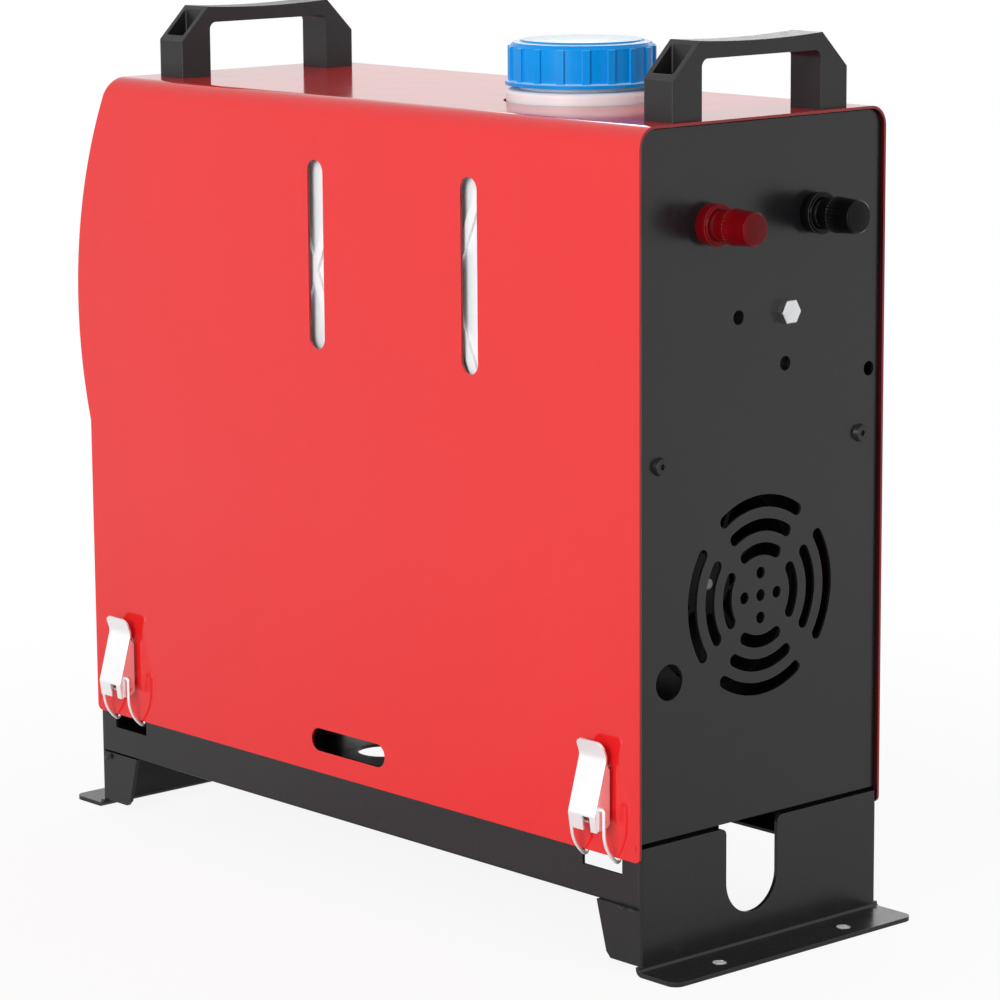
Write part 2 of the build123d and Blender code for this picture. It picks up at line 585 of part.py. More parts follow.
# ================================================================ the heater core
JACKET_HALF = 57.0          # half width of the plastic jacket
JACKET_RISE = 54.0          # half height
JACKET_WALL = 2.5
JACKET_ROUND = 20.0
JACKET_REAR = 168.0
JACKET_SHOULDER = -138.0    # where the jacket narrows to its outlet
NOZZLE_TAPER = 26.0         # length over which it narrows
NOZZLE_FRONT = -184.0
NOZZLE_RADIUS = 34.0
FAN_RADIUS = 43.0
FAN_GAP = 1.5
FAN_DEPTH = 16.0
FAN_RECESS = 8.0            # fan wheel's rear face, inside the jacket's
FAN_RING = 2.0              # wall of the intake ring
fan_rear = JACKET_REAR - FAN_RECESS
nozzle_back = JACKET_SHOULDER - NOZZLE_TAPER


def jacket_section(inset):
    """Rounded cross-section of the jacket about the fan axis, `inset` inside its outer skin."""
    RectangleRounded(2 * (JACKET_HALF - inset), 2 * (JACKET_RISE - inset), JACKET_ROUND - inset)


with BuildPart() as jacket:
    with BuildSketch(on_axis(JACKET_SHOULDER)):
        jacket_section(0)
    extrude(amount=JACKET_REAR - JACKET_SHOULDER)
    with BuildSketch(on_axis(JACKET_SHOULDER)):
        jacket_section(0)
    with BuildSketch(on_axis(nozzle_back)):
        Circle(NOZZLE_RADIUS)
    loft()
    with BuildSketch(on_axis(NOZZLE_FRONT)):
        Circle(NOZZLE_RADIUS)
    extrude(amount=nozzle_back - NOZZLE_FRONT)
    with BuildSketch(on_axis(JACKET_SHOULDER)):
        jacket_section(JACKET_WALL)
    extrude(amount=JACKET_REAR - JACKET_WALL - JACKET_SHOULDER, mode=Mode.SUBTRACT)
    with BuildSketch(on_axis(JACKET_SHOULDER)):
        jacket_section(JACKET_WALL)
    with BuildSketch(on_axis(nozzle_back)):
        Circle(NOZZLE_RADIUS - JACKET_WALL)
    loft(mode=Mode.SUBTRACT)
    with BuildSketch(on_axis(NOZZLE_FRONT)):
        Circle(NOZZLE_RADIUS - JACKET_WALL)
    extrude(amount=nozzle_back - NOZZLE_FRONT, mode=Mode.SUBTRACT)
    # intake ring around the fan wheel
    with BuildSketch(on_axis(JACKET_REAR)):
        Circle(FAN_RADIUS + FAN_GAP)
    extrude(amount=-JACKET_WALL, mode=Mode.SUBTRACT)
    with BuildSketch(on_axis(JACKET_REAR)):
        ring(FAN_RADIUS + FAN_GAP + FAN_RING, FAN_RADIUS + FAN_GAP)
    extrude(amount=-FAN_DEPTH - FAN_RECESS)
    # holes for the two pipes
    with BuildSketch(Plane.XY.offset(FAN_Z - JACKET_RISE - 1)):
        pipe_holes(JACKET_HOLE_GAP)
    extrude(amount=JACKET_WALL + 3, mode=Mode.SUBTRACT)

with BuildPart() as jacket_upper:
    add(jacket.part)
    split(bisect_by=Plane.XY.offset(FAN_Z), keep=Keep.TOP)
write(jacket_upper, "jacket_upper")

with BuildPart() as jacket_lower:
    add(jacket.part)
    split(bisect_by=Plane.XY.offset(FAN_Z), keep=Keep.BOTTOM)
write(jacket_lower, "jacket_lower")


CORE_RADIUS = 29.0
CORE_FRONT, CORE_REAR = -128.0, 38.0
CORE_NOSE = 14.0            # radius of its closed end
FIN_COUNT = 24
FIN_SHEET = 1.8
FIN_REACH = 36.0            # radial length of a fin's blank, before it is cut to the jacket
FIN_FRONT, FIN_REAR = 16.0, 10.0        # the fins stop this far inside the core's ends
FIN_GAP = 2.0               # from the fins to the jacket
FLANGE_THICK = 5.0          # joint flange between the core and the burner head
FLANGE_GAP = 9.0            # from its edge to the jacket
PORT_WALL = 3.0             # cast ports on the core and the head, which the pipes plug into
PORT_DEPTH = 16.0
PORT_LIFT = 6.0             # mouths of the ports, above the jacket's floor
port_foot = FAN_Z - JACKET_RISE + JACKET_WALL + PORT_LIFT

with BuildPart() as heat_exchanger:
    with BuildSketch(on_axis(CORE_FRONT + FIN_FRONT)):
        with PolarLocations(CORE_RADIUS - 4 + FIN_REACH / 2, FIN_COUNT):
            Rectangle(FIN_REACH, FIN_SHEET)
    extrude(amount=CORE_REAR - CORE_FRONT - FIN_FRONT - FIN_REAR)
    with BuildSketch(on_axis(CORE_FRONT)):
        jacket_section(JACKET_WALL + FIN_GAP)
    extrude(amount=CORE_REAR - CORE_FRONT, mode=Mode.INTERSECT)
    with BuildSketch(on_axis(CORE_FRONT)):
        Circle(CORE_RADIUS)
    extrude(amount=CORE_REAR - CORE_FRONT)
    fillet(heat_exchanger.edges().group_by(Axis.X)[0], CORE_NOSE)
    with BuildSketch(on_axis(CORE_REAR - FLANGE_THICK)):
        jacket_section(JACKET_WALL + FLANGE_GAP)
    extrude(amount=FLANGE_THICK)
    port = EXHAUST_RADIUS + PORT_FIT
    with BuildSketch(Plane(origin=(EXHAUST_X, 0, port_foot))):
        Circle(port + PORT_WALL)
    extrude(amount=FAN_Z - port_foot)
    # the fins are cut away below the port
    with BuildSketch(Plane(origin=(EXHAUST_X, 0, port_foot))):
        Circle(port + PORT_WALL + 0.6)
    extrude(amount=-JACKET_RISE, mode=Mode.SUBTRACT)
    with BuildSketch(Plane(origin=(EXHAUST_X, 0, port_foot))):
        Circle(port)
    extrude(amount=PORT_DEPTH, mode=Mode.SUBTRACT)
write(heat_exchanger, "heat_exchanger")


GASKET_SHEET = 1.0
GASKET_BORE = 26.0
GASKET_INSET = 0.5          # gasket's edge, inside the flanges'
HEAD_LENGTH = 44.0
HEAD_RADIUS = 40.0
BLOWER_RADIUS = 31.0
BLOWER_DEPTH = 14.0
BLOWER_RECESS = 22.0        # front of the blower wheel, inside the head's rear face
BLOWER_GAP = 1.5
MOTOR_RADIUS = 25.0
MOTOR_BOSS = (8.0, 6.0)     # radius and length of its rear boss
MOTOR_ROUND = 3.0
MOTOR_GAP = 4.0             # from the boss to the intake fan
SHAFT_RADIUS = 3.0
SHAFT_ENDS = (4.0, 1.0)     # it stands this far out of the blower wheel and of the intake fan
head_front = CORE_REAR + GASKET_SHEET
head_rear = head_front + HEAD_LENGTH
blower_front = head_rear - BLOWER_RECESS
motor_rear = fan_rear - FAN_DEPTH - MOTOR_GAP

with BuildPart() as burner_gasket:
    with BuildSketch(on_axis(CORE_REAR)):
        jacket_section(JACKET_WALL + FLANGE_GAP + GASKET_INSET)
        Circle(GASKET_BORE, mode=Mode.SUBTRACT)
    extrude(amount=GASKET_SHEET)
write(burner_gasket, "burner_gasket")

with BuildPart() as burner_head:
    with BuildSketch(on_axis(head_front)):
        jacket_section(JACKET_WALL + FLANGE_GAP)
    extrude(amount=FLANGE_THICK)
    with BuildSketch(on_axis(head_front)):
        Circle(HEAD_RADIUS)
    extrude(amount=HEAD_LENGTH)
    port = INTAKE_RADIUS + PORT_FIT
    with BuildSketch(Plane(origin=(INTAKE_X, 0, port_foot))):
        Circle(port + PORT_WALL)
    extrude(amount=FAN_Z - port_foot)
    with BuildSketch(Plane(origin=(INTAKE_X, 0, port_foot))):
        Circle(port)
    extrude(amount=PORT_DEPTH, mode=Mode.SUBTRACT)
    # chamber of the combustion blower, and the bore its shaft comes through
    with BuildSketch(on_axis(blower_front - BLOWER_GAP)):
        Circle(BLOWER_RADIUS + BLOWER_GAP)
    extrude(amount=BLOWER_DEPTH + 2 * BLOWER_GAP, mode=Mode.SUBTRACT)
    with BuildSketch(on_axis(head_rear)):
        Circle(SHAFT_RADIUS + 0.4)
    extrude(amount=blower_front - SHAFT_ENDS[0] - 2 - head_rear, mode=Mode.SUBTRACT)
write(burner_head, "burner_head")

with BuildPart() as fan_motor:
    with BuildSketch(on_axis(head_rear)):
        Circle(MOTOR_RADIUS)
    extrude(amount=motor_rear - head_rear - MOTOR_BOSS[1])
    fillet(fan_motor.edges().group_by(Axis.X)[-1], MOTOR_ROUND)
    with BuildSketch(on_axis(motor_rear - MOTOR_BOSS[1])):
        Circle(MOTOR_BOSS[0])
    extrude(amount=MOTOR_BOSS[1])
    with BuildSketch(on_axis(head_rear)):
        Circle(SHAFT_RADIUS + RUN_FIT)
    extrude(amount=motor_rear - head_rear, mode=Mode.SUBTRACT)
write(fan_motor, "fan_motor")

with BuildPart() as motor_shaft:
    with BuildSketch(on_axis(blower_front - SHAFT_ENDS[0])):
        Circle(SHAFT_RADIUS)
    extrude(amount=fan_rear - blower_front + sum(SHAFT_ENDS))
    chamfer(motor_shaft.edges().group_by(Axis.X)[-1], 0.6)
write(motor_shaft, "motor_shaft")


def fan_wheel(front, depth, hub, tip, blades, lean):
    """Wheel on the motor shaft: a hub and `blades` blades twisted by `lean` degrees over its depth."""
    blade_thick, blade_root = 2.2, 2
    with BuildPart() as wheel:
        with BuildSketch(on_axis(0, 0, 0)):
            Circle(hub)
        extrude(amount=depth)
        for x, turn in ((0, 0), (depth, lean)):
            with BuildSketch(on_axis(x, 0, 0)):
                with Locations(Location((0, 0, 0), (0, 0, turn))):
                    with Locations(((hub - blade_root + tip) / 2, 0)):
                        Rectangle(tip - hub + blade_root, blade_thick)
        loft(ruled=True)
        blade = wheel.part
    blade = blade.moved(Location((front, 0, FAN_Z)))
    with BuildPart() as complete:
        for number in range(blades):
            add(blade.rotate(Axis((0, 0, FAN_Z), (1, 0, 0)), 360 / blades * number))
        with BuildSketch(on_axis(front - 1)):
            Circle(SHAFT_RADIUS)
        extrude(amount=depth + 2, mode=Mode.SUBTRACT)
    return complete


intake_fan = fan_wheel(fan_rear - FAN_DEPTH, FAN_DEPTH, hub=14, tip=FAN_RADIUS, blades=9, lean=26)
write(intake_fan, "intake_fan")

combustion_fan = fan_wheel(blower_front, BLOWER_DEPTH, hub=9, tip=BLOWER_RADIUS, blades=12, lean=8)
write(combustion_fan, "combustion_fan")

UNIT_LENGTH, UNIT_WIDTH, UNIT_CORNER = 76.0, 60.0, 4.0
UNIT_GAP = 0.3              # above the burner head, and twice that and more below the jacket
unit_middle = (head_front + motor_rear) / 2 + 4

with BuildPart() as control_unit:
    with BuildSketch(Plane.XY.offset(FAN_Z + HEAD_RADIUS + UNIT_GAP)):
        with Locations((unit_middle, 0)):
            RectangleRounded(UNIT_LENGTH, UNIT_WIDTH, UNIT_CORNER)
    extrude(amount=JACKET_RISE - JACKET_WALL - HEAD_RADIUS - 1)
    fillet(control_unit.edges().group_by(Axis.Z)[-1], 1.5)
write(control_unit, "control_unit")


PIPE_ENTRY = 10.0           # the pipes plug this far into their ports
STOP_RING = (2.6, 3.0)      # how far the stop ring stands out, and its length


def pipe(x, radius):
    """Steel pipe from a port in the heater core down through the tray, with a stop ring."""
    with BuildPart() as tube:
        with BuildSketch(Plane(origin=(x, 0, PIPE_FOOT))):
            ring(radius, radius - PIPE_WALL)
        extrude(amount=port_foot + PIPE_ENTRY - PIPE_FOOT)
        with BuildSketch(Plane(origin=(x, 0, port_foot - STOP_RING[1]))):
            ring(radius + STOP_RING[0], radius - PIPE_WALL)
        extrude(amount=STOP_RING[1] - 2 * PRESS_GAP)
    return tube


exhaust_pipe = pipe(EXHAUST_X, EXHAUST_RADIUS)
write(exhaust_pipe, "exhaust_pipe")
intake_pipe = pipe(INTAKE_X, INTAKE_RADIUS)
write(intake_pipe, "intake_pipe")


STAND_SHEET = 2.0
STAND_FRONT, STAND_REAR = -126.0, 92.0
STAND_HALF = 46.0
STAND_FOOT = 24.0           # width of each leg and of its foot
STAND_TOE = 10.0            # the feet turn out this far
STAND_WINDOW = (50.0, 56.0)     # opening in its top, at the front
STAND_WINDOW_IN = 48.0
stand_top = FAN_Z - JACKET_RISE

with BuildPart() as heater_stand:
    with BuildSketch(Plane.XY.offset(stand_top - STAND_SHEET)):
        with Locations(((STAND_FRONT + STAND_REAR) / 2, 0)):
            Rectangle(STAND_REAR - STAND_FRONT, 2 * STAND_HALF)
        pipe_holes(STAND_HOLE_GAP, mode=Mode.SUBTRACT)
        with Locations((STAND_FRONT + STAND_WINDOW_IN, 0)):
            RectangleRounded(*STAND_WINDOW, 6, mode=Mode.SUBTRACT)
    extrude(amount=STAND_SHEET)
    # a leg at each corner, folded down and turned out at the floor of the tray
    for side in (1, -1):
        for end in (STAND_FRONT + STAND_FOOT / 2, STAND_REAR - STAND_FOOT / 2):
            with BuildSketch(Plane.XY.offset(tray_floor)):
                with Locations((end, side * (STAND_HALF - STAND_SHEET / 2))):
                    Rectangle(STAND_FOOT, STAND_SHEET)
            extrude(amount=stand_top - tray_floor)
            with BuildSketch(Plane.XY.offset(tray_floor)):
                with Locations((end, side * (STAND_HALF + STAND_TOE / 2))):
                    Rectangle(STAND_FOOT, STAND_TOE)
            extrude(amount=STAND_SHEET)
write(heater_stand, "heater_stand")


# ================================================================ fuel pump and filter
PUMP_AT = (-30.0, 52.0)     # rear end of the pump, and its side of the tray
PUMP_RADIUS = 11.5
PUMP_LENGTH = 66.0
PUMP_UP = 18.0              # its axis above the tray's floor
PUMP_BORE = 1.5
MOUNT_BACK, MOUNT_LENGTH = 29.0, 14.0   # rubber mount, from the pump's rear end
MOUNT_WALL = 4.0
FILTER_X, FILTER_UP = 40.0, 10.0
pump_z = tray_floor + PUMP_UP
pump_axis = on_axis(*PUMP_AT, pump_z)


def stepped_rod(axis, steps):
    """Turned piece along -X: one cylinder for each start, radius and length."""
    with BuildPart() as rod:
        for back, radius, length in steps:
            with BuildSketch(axis.offset(-back)):
                Circle(radius)
            extrude(amount=-length)
    return rod


with BuildPart() as fuel_pump:
    steps = (
        (0, 4.5, 12), (12, 7, 8), (20, PUMP_RADIUS, PUMP_LENGTH - 34), (PUMP_LENGTH - 14, 8, 6),
        (PUMP_LENGTH - 8, 3, 8),
    )
    add(stepped_rod(pump_axis, steps).part)
    with BuildSketch(pump_axis):
        Circle(PUMP_BORE)
    extrude(amount=-8, mode=Mode.SUBTRACT)
write(fuel_pump, "fuel_pump")

with BuildPart() as pump_mount:
    with BuildSketch(pump_axis.offset(-MOUNT_BACK)):
        Circle(PUMP_RADIUS + MOUNT_WALL)
        with Locations((0, (tray_floor - pump_z) / 2)):
            Rectangle(2 * PUMP_RADIUS, pump_z - tray_floor)
    extrude(amount=-MOUNT_LENGTH)
    with BuildSketch(pump_axis.offset(-MOUNT_BACK)):
        Circle(PUMP_RADIUS + RUN_FIT)
    extrude(amount=-MOUNT_LENGTH, mode=Mode.SUBTRACT)
write(pump_mount, "pump_mount")

filter_axis = on_axis(FILTER_X, -PUMP_AT[1], tray_floor + FILTER_UP)
fuel_filter = stepped_rod(filter_axis, ((0, 3, 12), (12, FILTER_UP - 0.1, 30), (42, 3, 12)))
write(fuel_filter, "fuel_filter")


# ================================================================ terminals and earth bolt
INSULATOR_RADIUS = 9.0
INSULATOR_DEPTH = 7.0
INSULATOR_ROUND = 0.8
INSULATOR_BEAD = (0.35, 1.4, 2.8)       # how far the bead stands out, its length and its place
SPIGOT_PAST = 2.0           # insulator's neck stands this far inside the panel
STUD_RADIUS = 2.95
STUD_INSIDE, STUD_OUTSIDE = 16.0, 21.0
WASHER_SHEET = 0.9
KNOB_WAIST, KNOB_BELLY, KNOB_FACE = 7.0, 8.0, 7.3
KNOB_WAIST_END, KNOB_BELLY_AT = 2.2, 6.0
KNOB_CHAMFER = 0.8
KNOB_LENGTH = 19.8
KNOB_CROWN = 0.4
KNOB_FLUTES = 32
FLUTE_RADIUS, FLUTE_OUT = 0.5, 0.2      # their middles lie this far outside the belly
NUT_FLATS = 10.0
NUT_HEIGHT = 5.0
BOLT_HEAD = 4.2
BOLT_CHAMFER = 0.5
BOLT_LENGTH = 13.0
washer_x = panel_x + INSULATOR_DEPTH + PRESS_GAP
knob_x = washer_x + WASHER_SHEET + PRESS_GAP
inner_face = panel_x - PANEL_SHEET


def insulator(y):
    """Moulded collar of a terminal: a beaded disc outside the panel, a neck through it."""
    with BuildPart() as collar:
        with BuildSketch(on_axis(panel_x, y, TERMINAL_Z)):
            Circle(INSULATOR_RADIUS)
        extrude(amount=INSULATOR_DEPTH)
        fillet(collar.edges().group_by(Axis.X)[-1], INSULATOR_ROUND)
        bead_out, bead_length, bead_in = INSULATOR_BEAD
        with BuildSketch(on_axis(panel_x + INSULATOR_DEPTH - bead_in, y, TERMINAL_Z)):
            Circle(INSULATOR_RADIUS + bead_out)
        extrude(amount=bead_length)
        with BuildSketch(on_axis(panel_x, y, TERMINAL_Z)):
            Circle(TERMINAL_SPIGOT)
        extrude(amount=-PANEL_SHEET - SPIGOT_PAST)
        with BuildSketch(on_axis(panel_x + INSULATOR_DEPTH, y, TERMINAL_Z)):
            Circle(STUD_RADIUS)
        extrude(amount=-COVER_WIDTH, mode=Mode.SUBTRACT)
    return collar


def knob(y):
    """Fluted terminal knob with a blind bore for its stud."""
    length = KNOB_LENGTH - KNOB_CROWN
    with BuildPart() as grip:
        # section with local x as the radius and local y along the knob
        with BuildSketch(Plane(origin=(knob_x, 0, 0), x_dir=(0, 1, 0), z_dir=(0, 0, -1))):
            with BuildLine():
                Polyline((0, 0), (KNOB_WAIST, 0), (KNOB_WAIST, KNOB_WAIST_END), (KNOB_BELLY, KNOB_BELLY_AT),
                         (KNOB_FACE, length - KNOB_CHAMFER), (KNOB_FACE - KNOB_CHAMFER, length))
                ThreePointArc(*crown(KNOB_FACE - KNOB_CHAMFER, length, KNOB_CROWN))
                Line((0, length + KNOB_CROWN), (0, 0))
            make_face()
        revolve(axis=Axis.X)
        with BuildSketch(on_axis(knob_x + KNOB_BELLY_AT + FLUTE_RADIUS, 0, 0)):
            with PolarLocations(KNOB_BELLY + FLUTE_OUT, KNOB_FLUTES):
                Circle(FLUTE_RADIUS)
        extrude(amount=KNOB_LENGTH, mode=Mode.SUBTRACT)
        with BuildSketch(on_axis(knob_x, 0, 0)):
            Circle(STUD_RADIUS + RUN_FIT)
        extrude(amount=STUD_OUTSIDE - INSULATOR_DEPTH - 0.8, mode=Mode.SUBTRACT)
        add(grip.part.moved(Location((0, y, TERMINAL_Z))), mode=Mode.REPLACE)
    return grip


def clamp_washer(y):
    """Washer that rides out with the knob and bears on the cable lug."""
    with BuildPart() as washer:
        with BuildSketch(on_axis(washer_x, y, TERMINAL_Z)):
            ring(KNOB_WAIST - 0.4, STUD_RADIUS + RUN_FIT)
        extrude(amount=WASHER_SHEET)
    return washer


for colour, y in (("red", -TERMINAL_Y), ("black", TERMINAL_Y)):
    write(insulator(y), f"terminal_collar_{colour}")
    write(clamp_washer(y), f"clamp_washer_{colour}")
    write(knob(y), f"terminal_knob_{colour}")

with BuildPart() as terminal_studs:
    for y in (-TERMINAL_Y, TERMINAL_Y):
        with BuildSketch(on_axis(panel_x - STUD_INSIDE, y, TERMINAL_Z)):
            Circle(STUD_RADIUS)
        extrude(amount=STUD_INSIDE + STUD_OUTSIDE - 1)
write(terminal_studs, "terminal_studs")

with BuildPart() as earth_bolt:
    with BuildSketch(on_axis(panel_x, *EARTH_BOLT_AT)):
        RegularPolygon(NUT_FLATS / 2, 6, major_radius=False)
    extrude(amount=BOLT_HEAD)
    chamfer(earth_bolt.edges().group_by(Axis.X)[-1], BOLT_CHAMFER)
    with BuildSketch(on_axis(panel_x, *EARTH_BOLT_AT)):
        Circle(EARTH_BOLT)
    extrude(amount=-BOLT_LENGTH)
write(earth_bolt, "earth_bolt")

with BuildPart() as hex_nuts:
    for y, z, face, bore in (
        (-TERMINAL_Y, TERMINAL_Z, inner_face - SPIGOT_PAST, STUD_RADIUS),
        (TERMINAL_Y, TERMINAL_Z, inner_face - SPIGOT_PAST, STUD_RADIUS),
        (*EARTH_BOLT_AT, inner_face, EARTH_BOLT),
    ):
        with BuildSketch(on_axis(face, y, z)):
            RegularPolygon(NUT_FLATS / 2, 6, major_radius=False)
            Circle(bore, mode=Mode.SUBTRACT)
        extrude(amount=-NUT_HEIGHT)
write(hex_nuts, "hex_nuts")


# ================================================================ control panel on the front
def facing_front(x, y=0.0, z=CONTROL_Z):
    """Sketch plane square to X that looks out of the front, with local x along -Y."""
    return Plane(origin=(x, y, z), x_dir=(0, -1, 0), z_dir=(-1, 0, 0))


CONTROL_PROUD = 1.5         # its face, past the crest of the bulge
CONTROL_DEPTH = 16.0
CONTROL_ROUND = 1.2
LENS_WIDTH, LENS_HEIGHT, LENS_SHEET = 52.0, 36.0, 1.6
LENS_AT = (-14.0, 0.0)      # in the face's own axes: x to the right as one looks at it
LENS_CORNER = 2.0
LENS_RECESS = 0.4
BUTTON_RADIUS = 4.6
BUTTON_PROUD = 1.6
BUTTON_TRAVEL = 0.8
BUTTON_DEPTH = 5.0
BUTTON_ROUND = 0.6
BUTTON_SPARE = 0.4          # depth of the well left below a pressed button
BUTTONS_AT = {
    "up": (24.0, 10.0), "set": (38.0, 10.0), "down": (24.0, -10.0), "power": (38.0, -10.0),
}
control_face = front_x - BULGE_OUT - CONTROL_PROUD


def lens_outline():
    """Face: the display window, in the control panel's own axes."""
    with Locations(LENS_AT):
        RectangleRounded(LENS_WIDTH, LENS_HEIGHT, LENS_CORNER)


with BuildPart() as control_bezel:
    with BuildSketch(facing_front(control_face)):
        RectangleRounded(CONTROL_WIDTH, CONTROL_HEIGHT, CONTROL_CORNER)
    extrude(amount=-CONTROL_DEPTH)
    fillet(control_bezel.edges().group_by(Axis.X)[0], CONTROL_ROUND)
    with BuildSketch(facing_front(control_face)):
        lens_outline()
    extrude(amount=-LENS_SHEET - LENS_RECESS, mode=Mode.SUBTRACT)
    with BuildSketch(facing_front(control_face)):
        with Locations(*BUTTONS_AT.values()):
            Circle(BUTTON_RADIUS + SLIP_FIT)
    extrude(amount=-BUTTON_DEPTH - BUTTON_TRAVEL - BUTTON_SPARE, mode=Mode.SUBTRACT)
write(control_bezel, "control_bezel")

with BuildPart() as display_lens:
    with BuildSketch(facing_front(control_face + LENS_RECESS)):
        lens_outline()
    extrude(amount=-LENS_SHEET)
write(display_lens, "display_lens")

for use, (x, y) in BUTTONS_AT.items():
    with BuildPart() as button:
        with BuildSketch(facing_front(control_face + BUTTON_DEPTH, -x, CONTROL_Z + y)):
            Circle(BUTTON_RADIUS)
        extrude(amount=BUTTON_DEPTH + BUTTON_PROUD)
        fillet(button.edges().group_by(Axis.X)[0], BUTTON_ROUND)
    write(button, f"button_{use}")


# ================================================================ warm-air outlet
OUTLET_PROUD = 9.0
OUTLET_WALL = 1.8
OUTLET_ROUND = 1.5
OUTLET_SLEEVE = 14.0        # the collar reaches this far behind the panel
STOP_RIM = (1.6, 1.4)       # rim that the louvre turns against: how far in, and its depth
LOUVRE_GAP = 0.3
LOUVRE_RIM = 2.0
LOUVRE_VANES = 5
LOUVRE_TILT = 30
VANE_CHORD, VANE_SHEET = 5.4, 1.6
SPINE = (2.4, 3.0)          # upright bar that joins the vanes
outlet_bore = OUTLET_TUBE - OUTLET_WALL
louvre_radius = outlet_bore - LOUVRE_GAP
louvre_depth = OUTLET_PROUD - 2 * LOUVRE_GAP

with BuildPart() as outlet_collar:
    with BuildSketch(facing_front(-panel_x, 0, FAN_Z)):
        ring(OUTLET_FLANGE, outlet_bore)
    extrude(amount=OUTLET_PROUD)
    fillet(outlet_collar.edges().group_by(Axis.X)[0].sort_by(SortBy.RADIUS)[-1], OUTLET_ROUND)
    with BuildSketch(facing_front(-panel_x, 0, FAN_Z)):
        ring(OUTLET_TUBE, outlet_bore + 0.1)
    extrude(amount=-PANEL_SHEET - OUTLET_SLEEVE)
    # a stop that the louvre turns against
    with BuildSketch(facing_front(-panel_x, 0, FAN_Z)):
        ring(outlet_bore + 0.5, outlet_bore - STOP_RIM[0])
    extrude(amount=-STOP_RIM[1])
write(outlet_collar, "outlet_collar")

with BuildPart() as outlet_louvre:
    louvre_back = -panel_x - LOUVRE_GAP
    louvre_middle = louvre_back - louvre_depth / 2
    rim_middle = louvre_radius - LOUVRE_RIM / 2
    with BuildSketch(facing_front(louvre_back, 0, FAN_Z)):
        ring(louvre_radius, louvre_radius - LOUVRE_RIM)
    extrude(amount=louvre_depth)
    vane_pitch = 2 * louvre_radius / (LOUVRE_VANES + 1)
    for number in range(LOUVRE_VANES):
        offset_z = (number - (LOUVRE_VANES - 1) / 2) * vane_pitch
        span = 2 * sqrt(rim_middle**2 - offset_z**2) - 0.6
        with Locations(Location((louvre_middle, 0, FAN_Z + offset_z), (0, LOUVRE_TILT, 0))):
            Box(VANE_CHORD, span, VANE_SHEET)
    with Locations((louvre_middle, 0, FAN_Z)):
        Box(*SPINE, 2 * rim_middle)
    with BuildSketch(facing_front(louvre_back, 0, FAN_Z)):
        Circle(louvre_radius)
    extrude(amount=louvre_depth, mode=Mode.INTERSECT)
write(outlet_louvre, "outlet_louvre")


# ================================================================ the red cover and its handles
SIGHT_SLOTS_X = (-17.8, 87.6)
SIGHT_SLOT_LENGTH, SIGHT_SLOT_WIDTH = 87.0, 10.8
SIGHT_SLOT_Z = 294.0
VENT_LENGTH, VENT_WIDTH, VENT_Z = 52.6, 10.9, 66.2
HANDLE_FRONT_X, HANDLE_REAR_X = -152.5, 183.3
HANDLE_WIDTH = 18.0
HANDLE_HALF = 53.0          # half its length, along Y
HANDLE_RISE = 33.5
HANDLE_SHOULDER = 17.5      # where its 45 degree corners start
HANDLE_LEG = 17.0
HANDLE_GRIP = 7.6           # thickness of the grip
HANDLE_SAG = 1.2
HANDLE_WALL = 2.6
HANDLE_ROUND = 1.0
HANDLE_ARCH = 3.5           # inner corners under the grip
POCKET_CORNER = 0.8
HANDLE_SEAT = 6.0           # floor of the screw pocket
HANDLE_SCREW = 2.5
HANDLE_SCREW_HEAD = (4.3, 2.6)          # its radius and height
HANDLE_SCREW_PAST = 5.0     # the screws stand this far below the cover's sheet
HANDLE_NUT = (8.0, 4.0)     # across its flats, and its height
handle_screw_y = HANDLE_HALF - HANDLE_WALL - HANDLE_SCREW_HEAD[0] - 0.6

# latch, in its own side view: distance out from the middle of the heater, and height
LATCH_PIVOT = (half_width + 4.8, COVER_BOTTOM + 16.1)
LATCH_BAIL = (half_width + 7.0, COVER_BOTTOM + 22.1)
LATCH_HALF = 8.4            # half width of the lever
LATCH_SHEET = 0.9
LEVER_FRONT = ((6.2, 51.3), (3.4, 44.0), (10.4, 19.2), (9.4, 12.2))     # out from the cover, up from its edge
LEVER_BENDS = (6.0, 1.6)
LEVER_HEEL = 1.9            # the cheeks' back edges, off the cover
LEVER_TAB_CORNER = 3.5
LEVER_NOTCH = (-4.9, -0.2)  # from its middle, seen from outside with + to the left
WIRE_GAP = 1.0              # between the cheeks and the wire's legs
BAIL_BOW = 3.75             # the legs turn in about this height above the cover's edge
BAIL_SLOPE = 0.78
BAIL_RADII = (18.0, 1.3)
BAIL_CORNER = 1.2
WIRE_END = 0.4              # the wire's ends stop this far inside the cheeks
PIN_RADIUS = 1.0
PIN_PAST = 0.1
PLATE_Z = (COVER_BOTTOM + 19.6, COVER_BOTTOM + 41.5)    # riveted plate behind each lever
PLATE_WIDTH, PLATE_SHEET, PLATE_CORNER = 12.8, 1.0, 2.0
KNUCKLE_RADIUS, KNUCKLE_HALF = 2.1, 2.6
RIVET_RADIUS = 1.5
RIVET_HEAD = (2.6, 0.9)     # radius and height outside
RIVET_TAIL = (2.4, 0.8)     # and inside the cover
RIVETS_Z = (COVER_BOTTOM + 25.2, COVER_BOTTOM + 36.2)
latches = {
    f"{side_name}_{end_name}": (end * LATCH_X, side)
    for side_name, side in (("near", -1), ("far", 1))
    for end_name, end in (("front", -1), ("rear", 1))
}

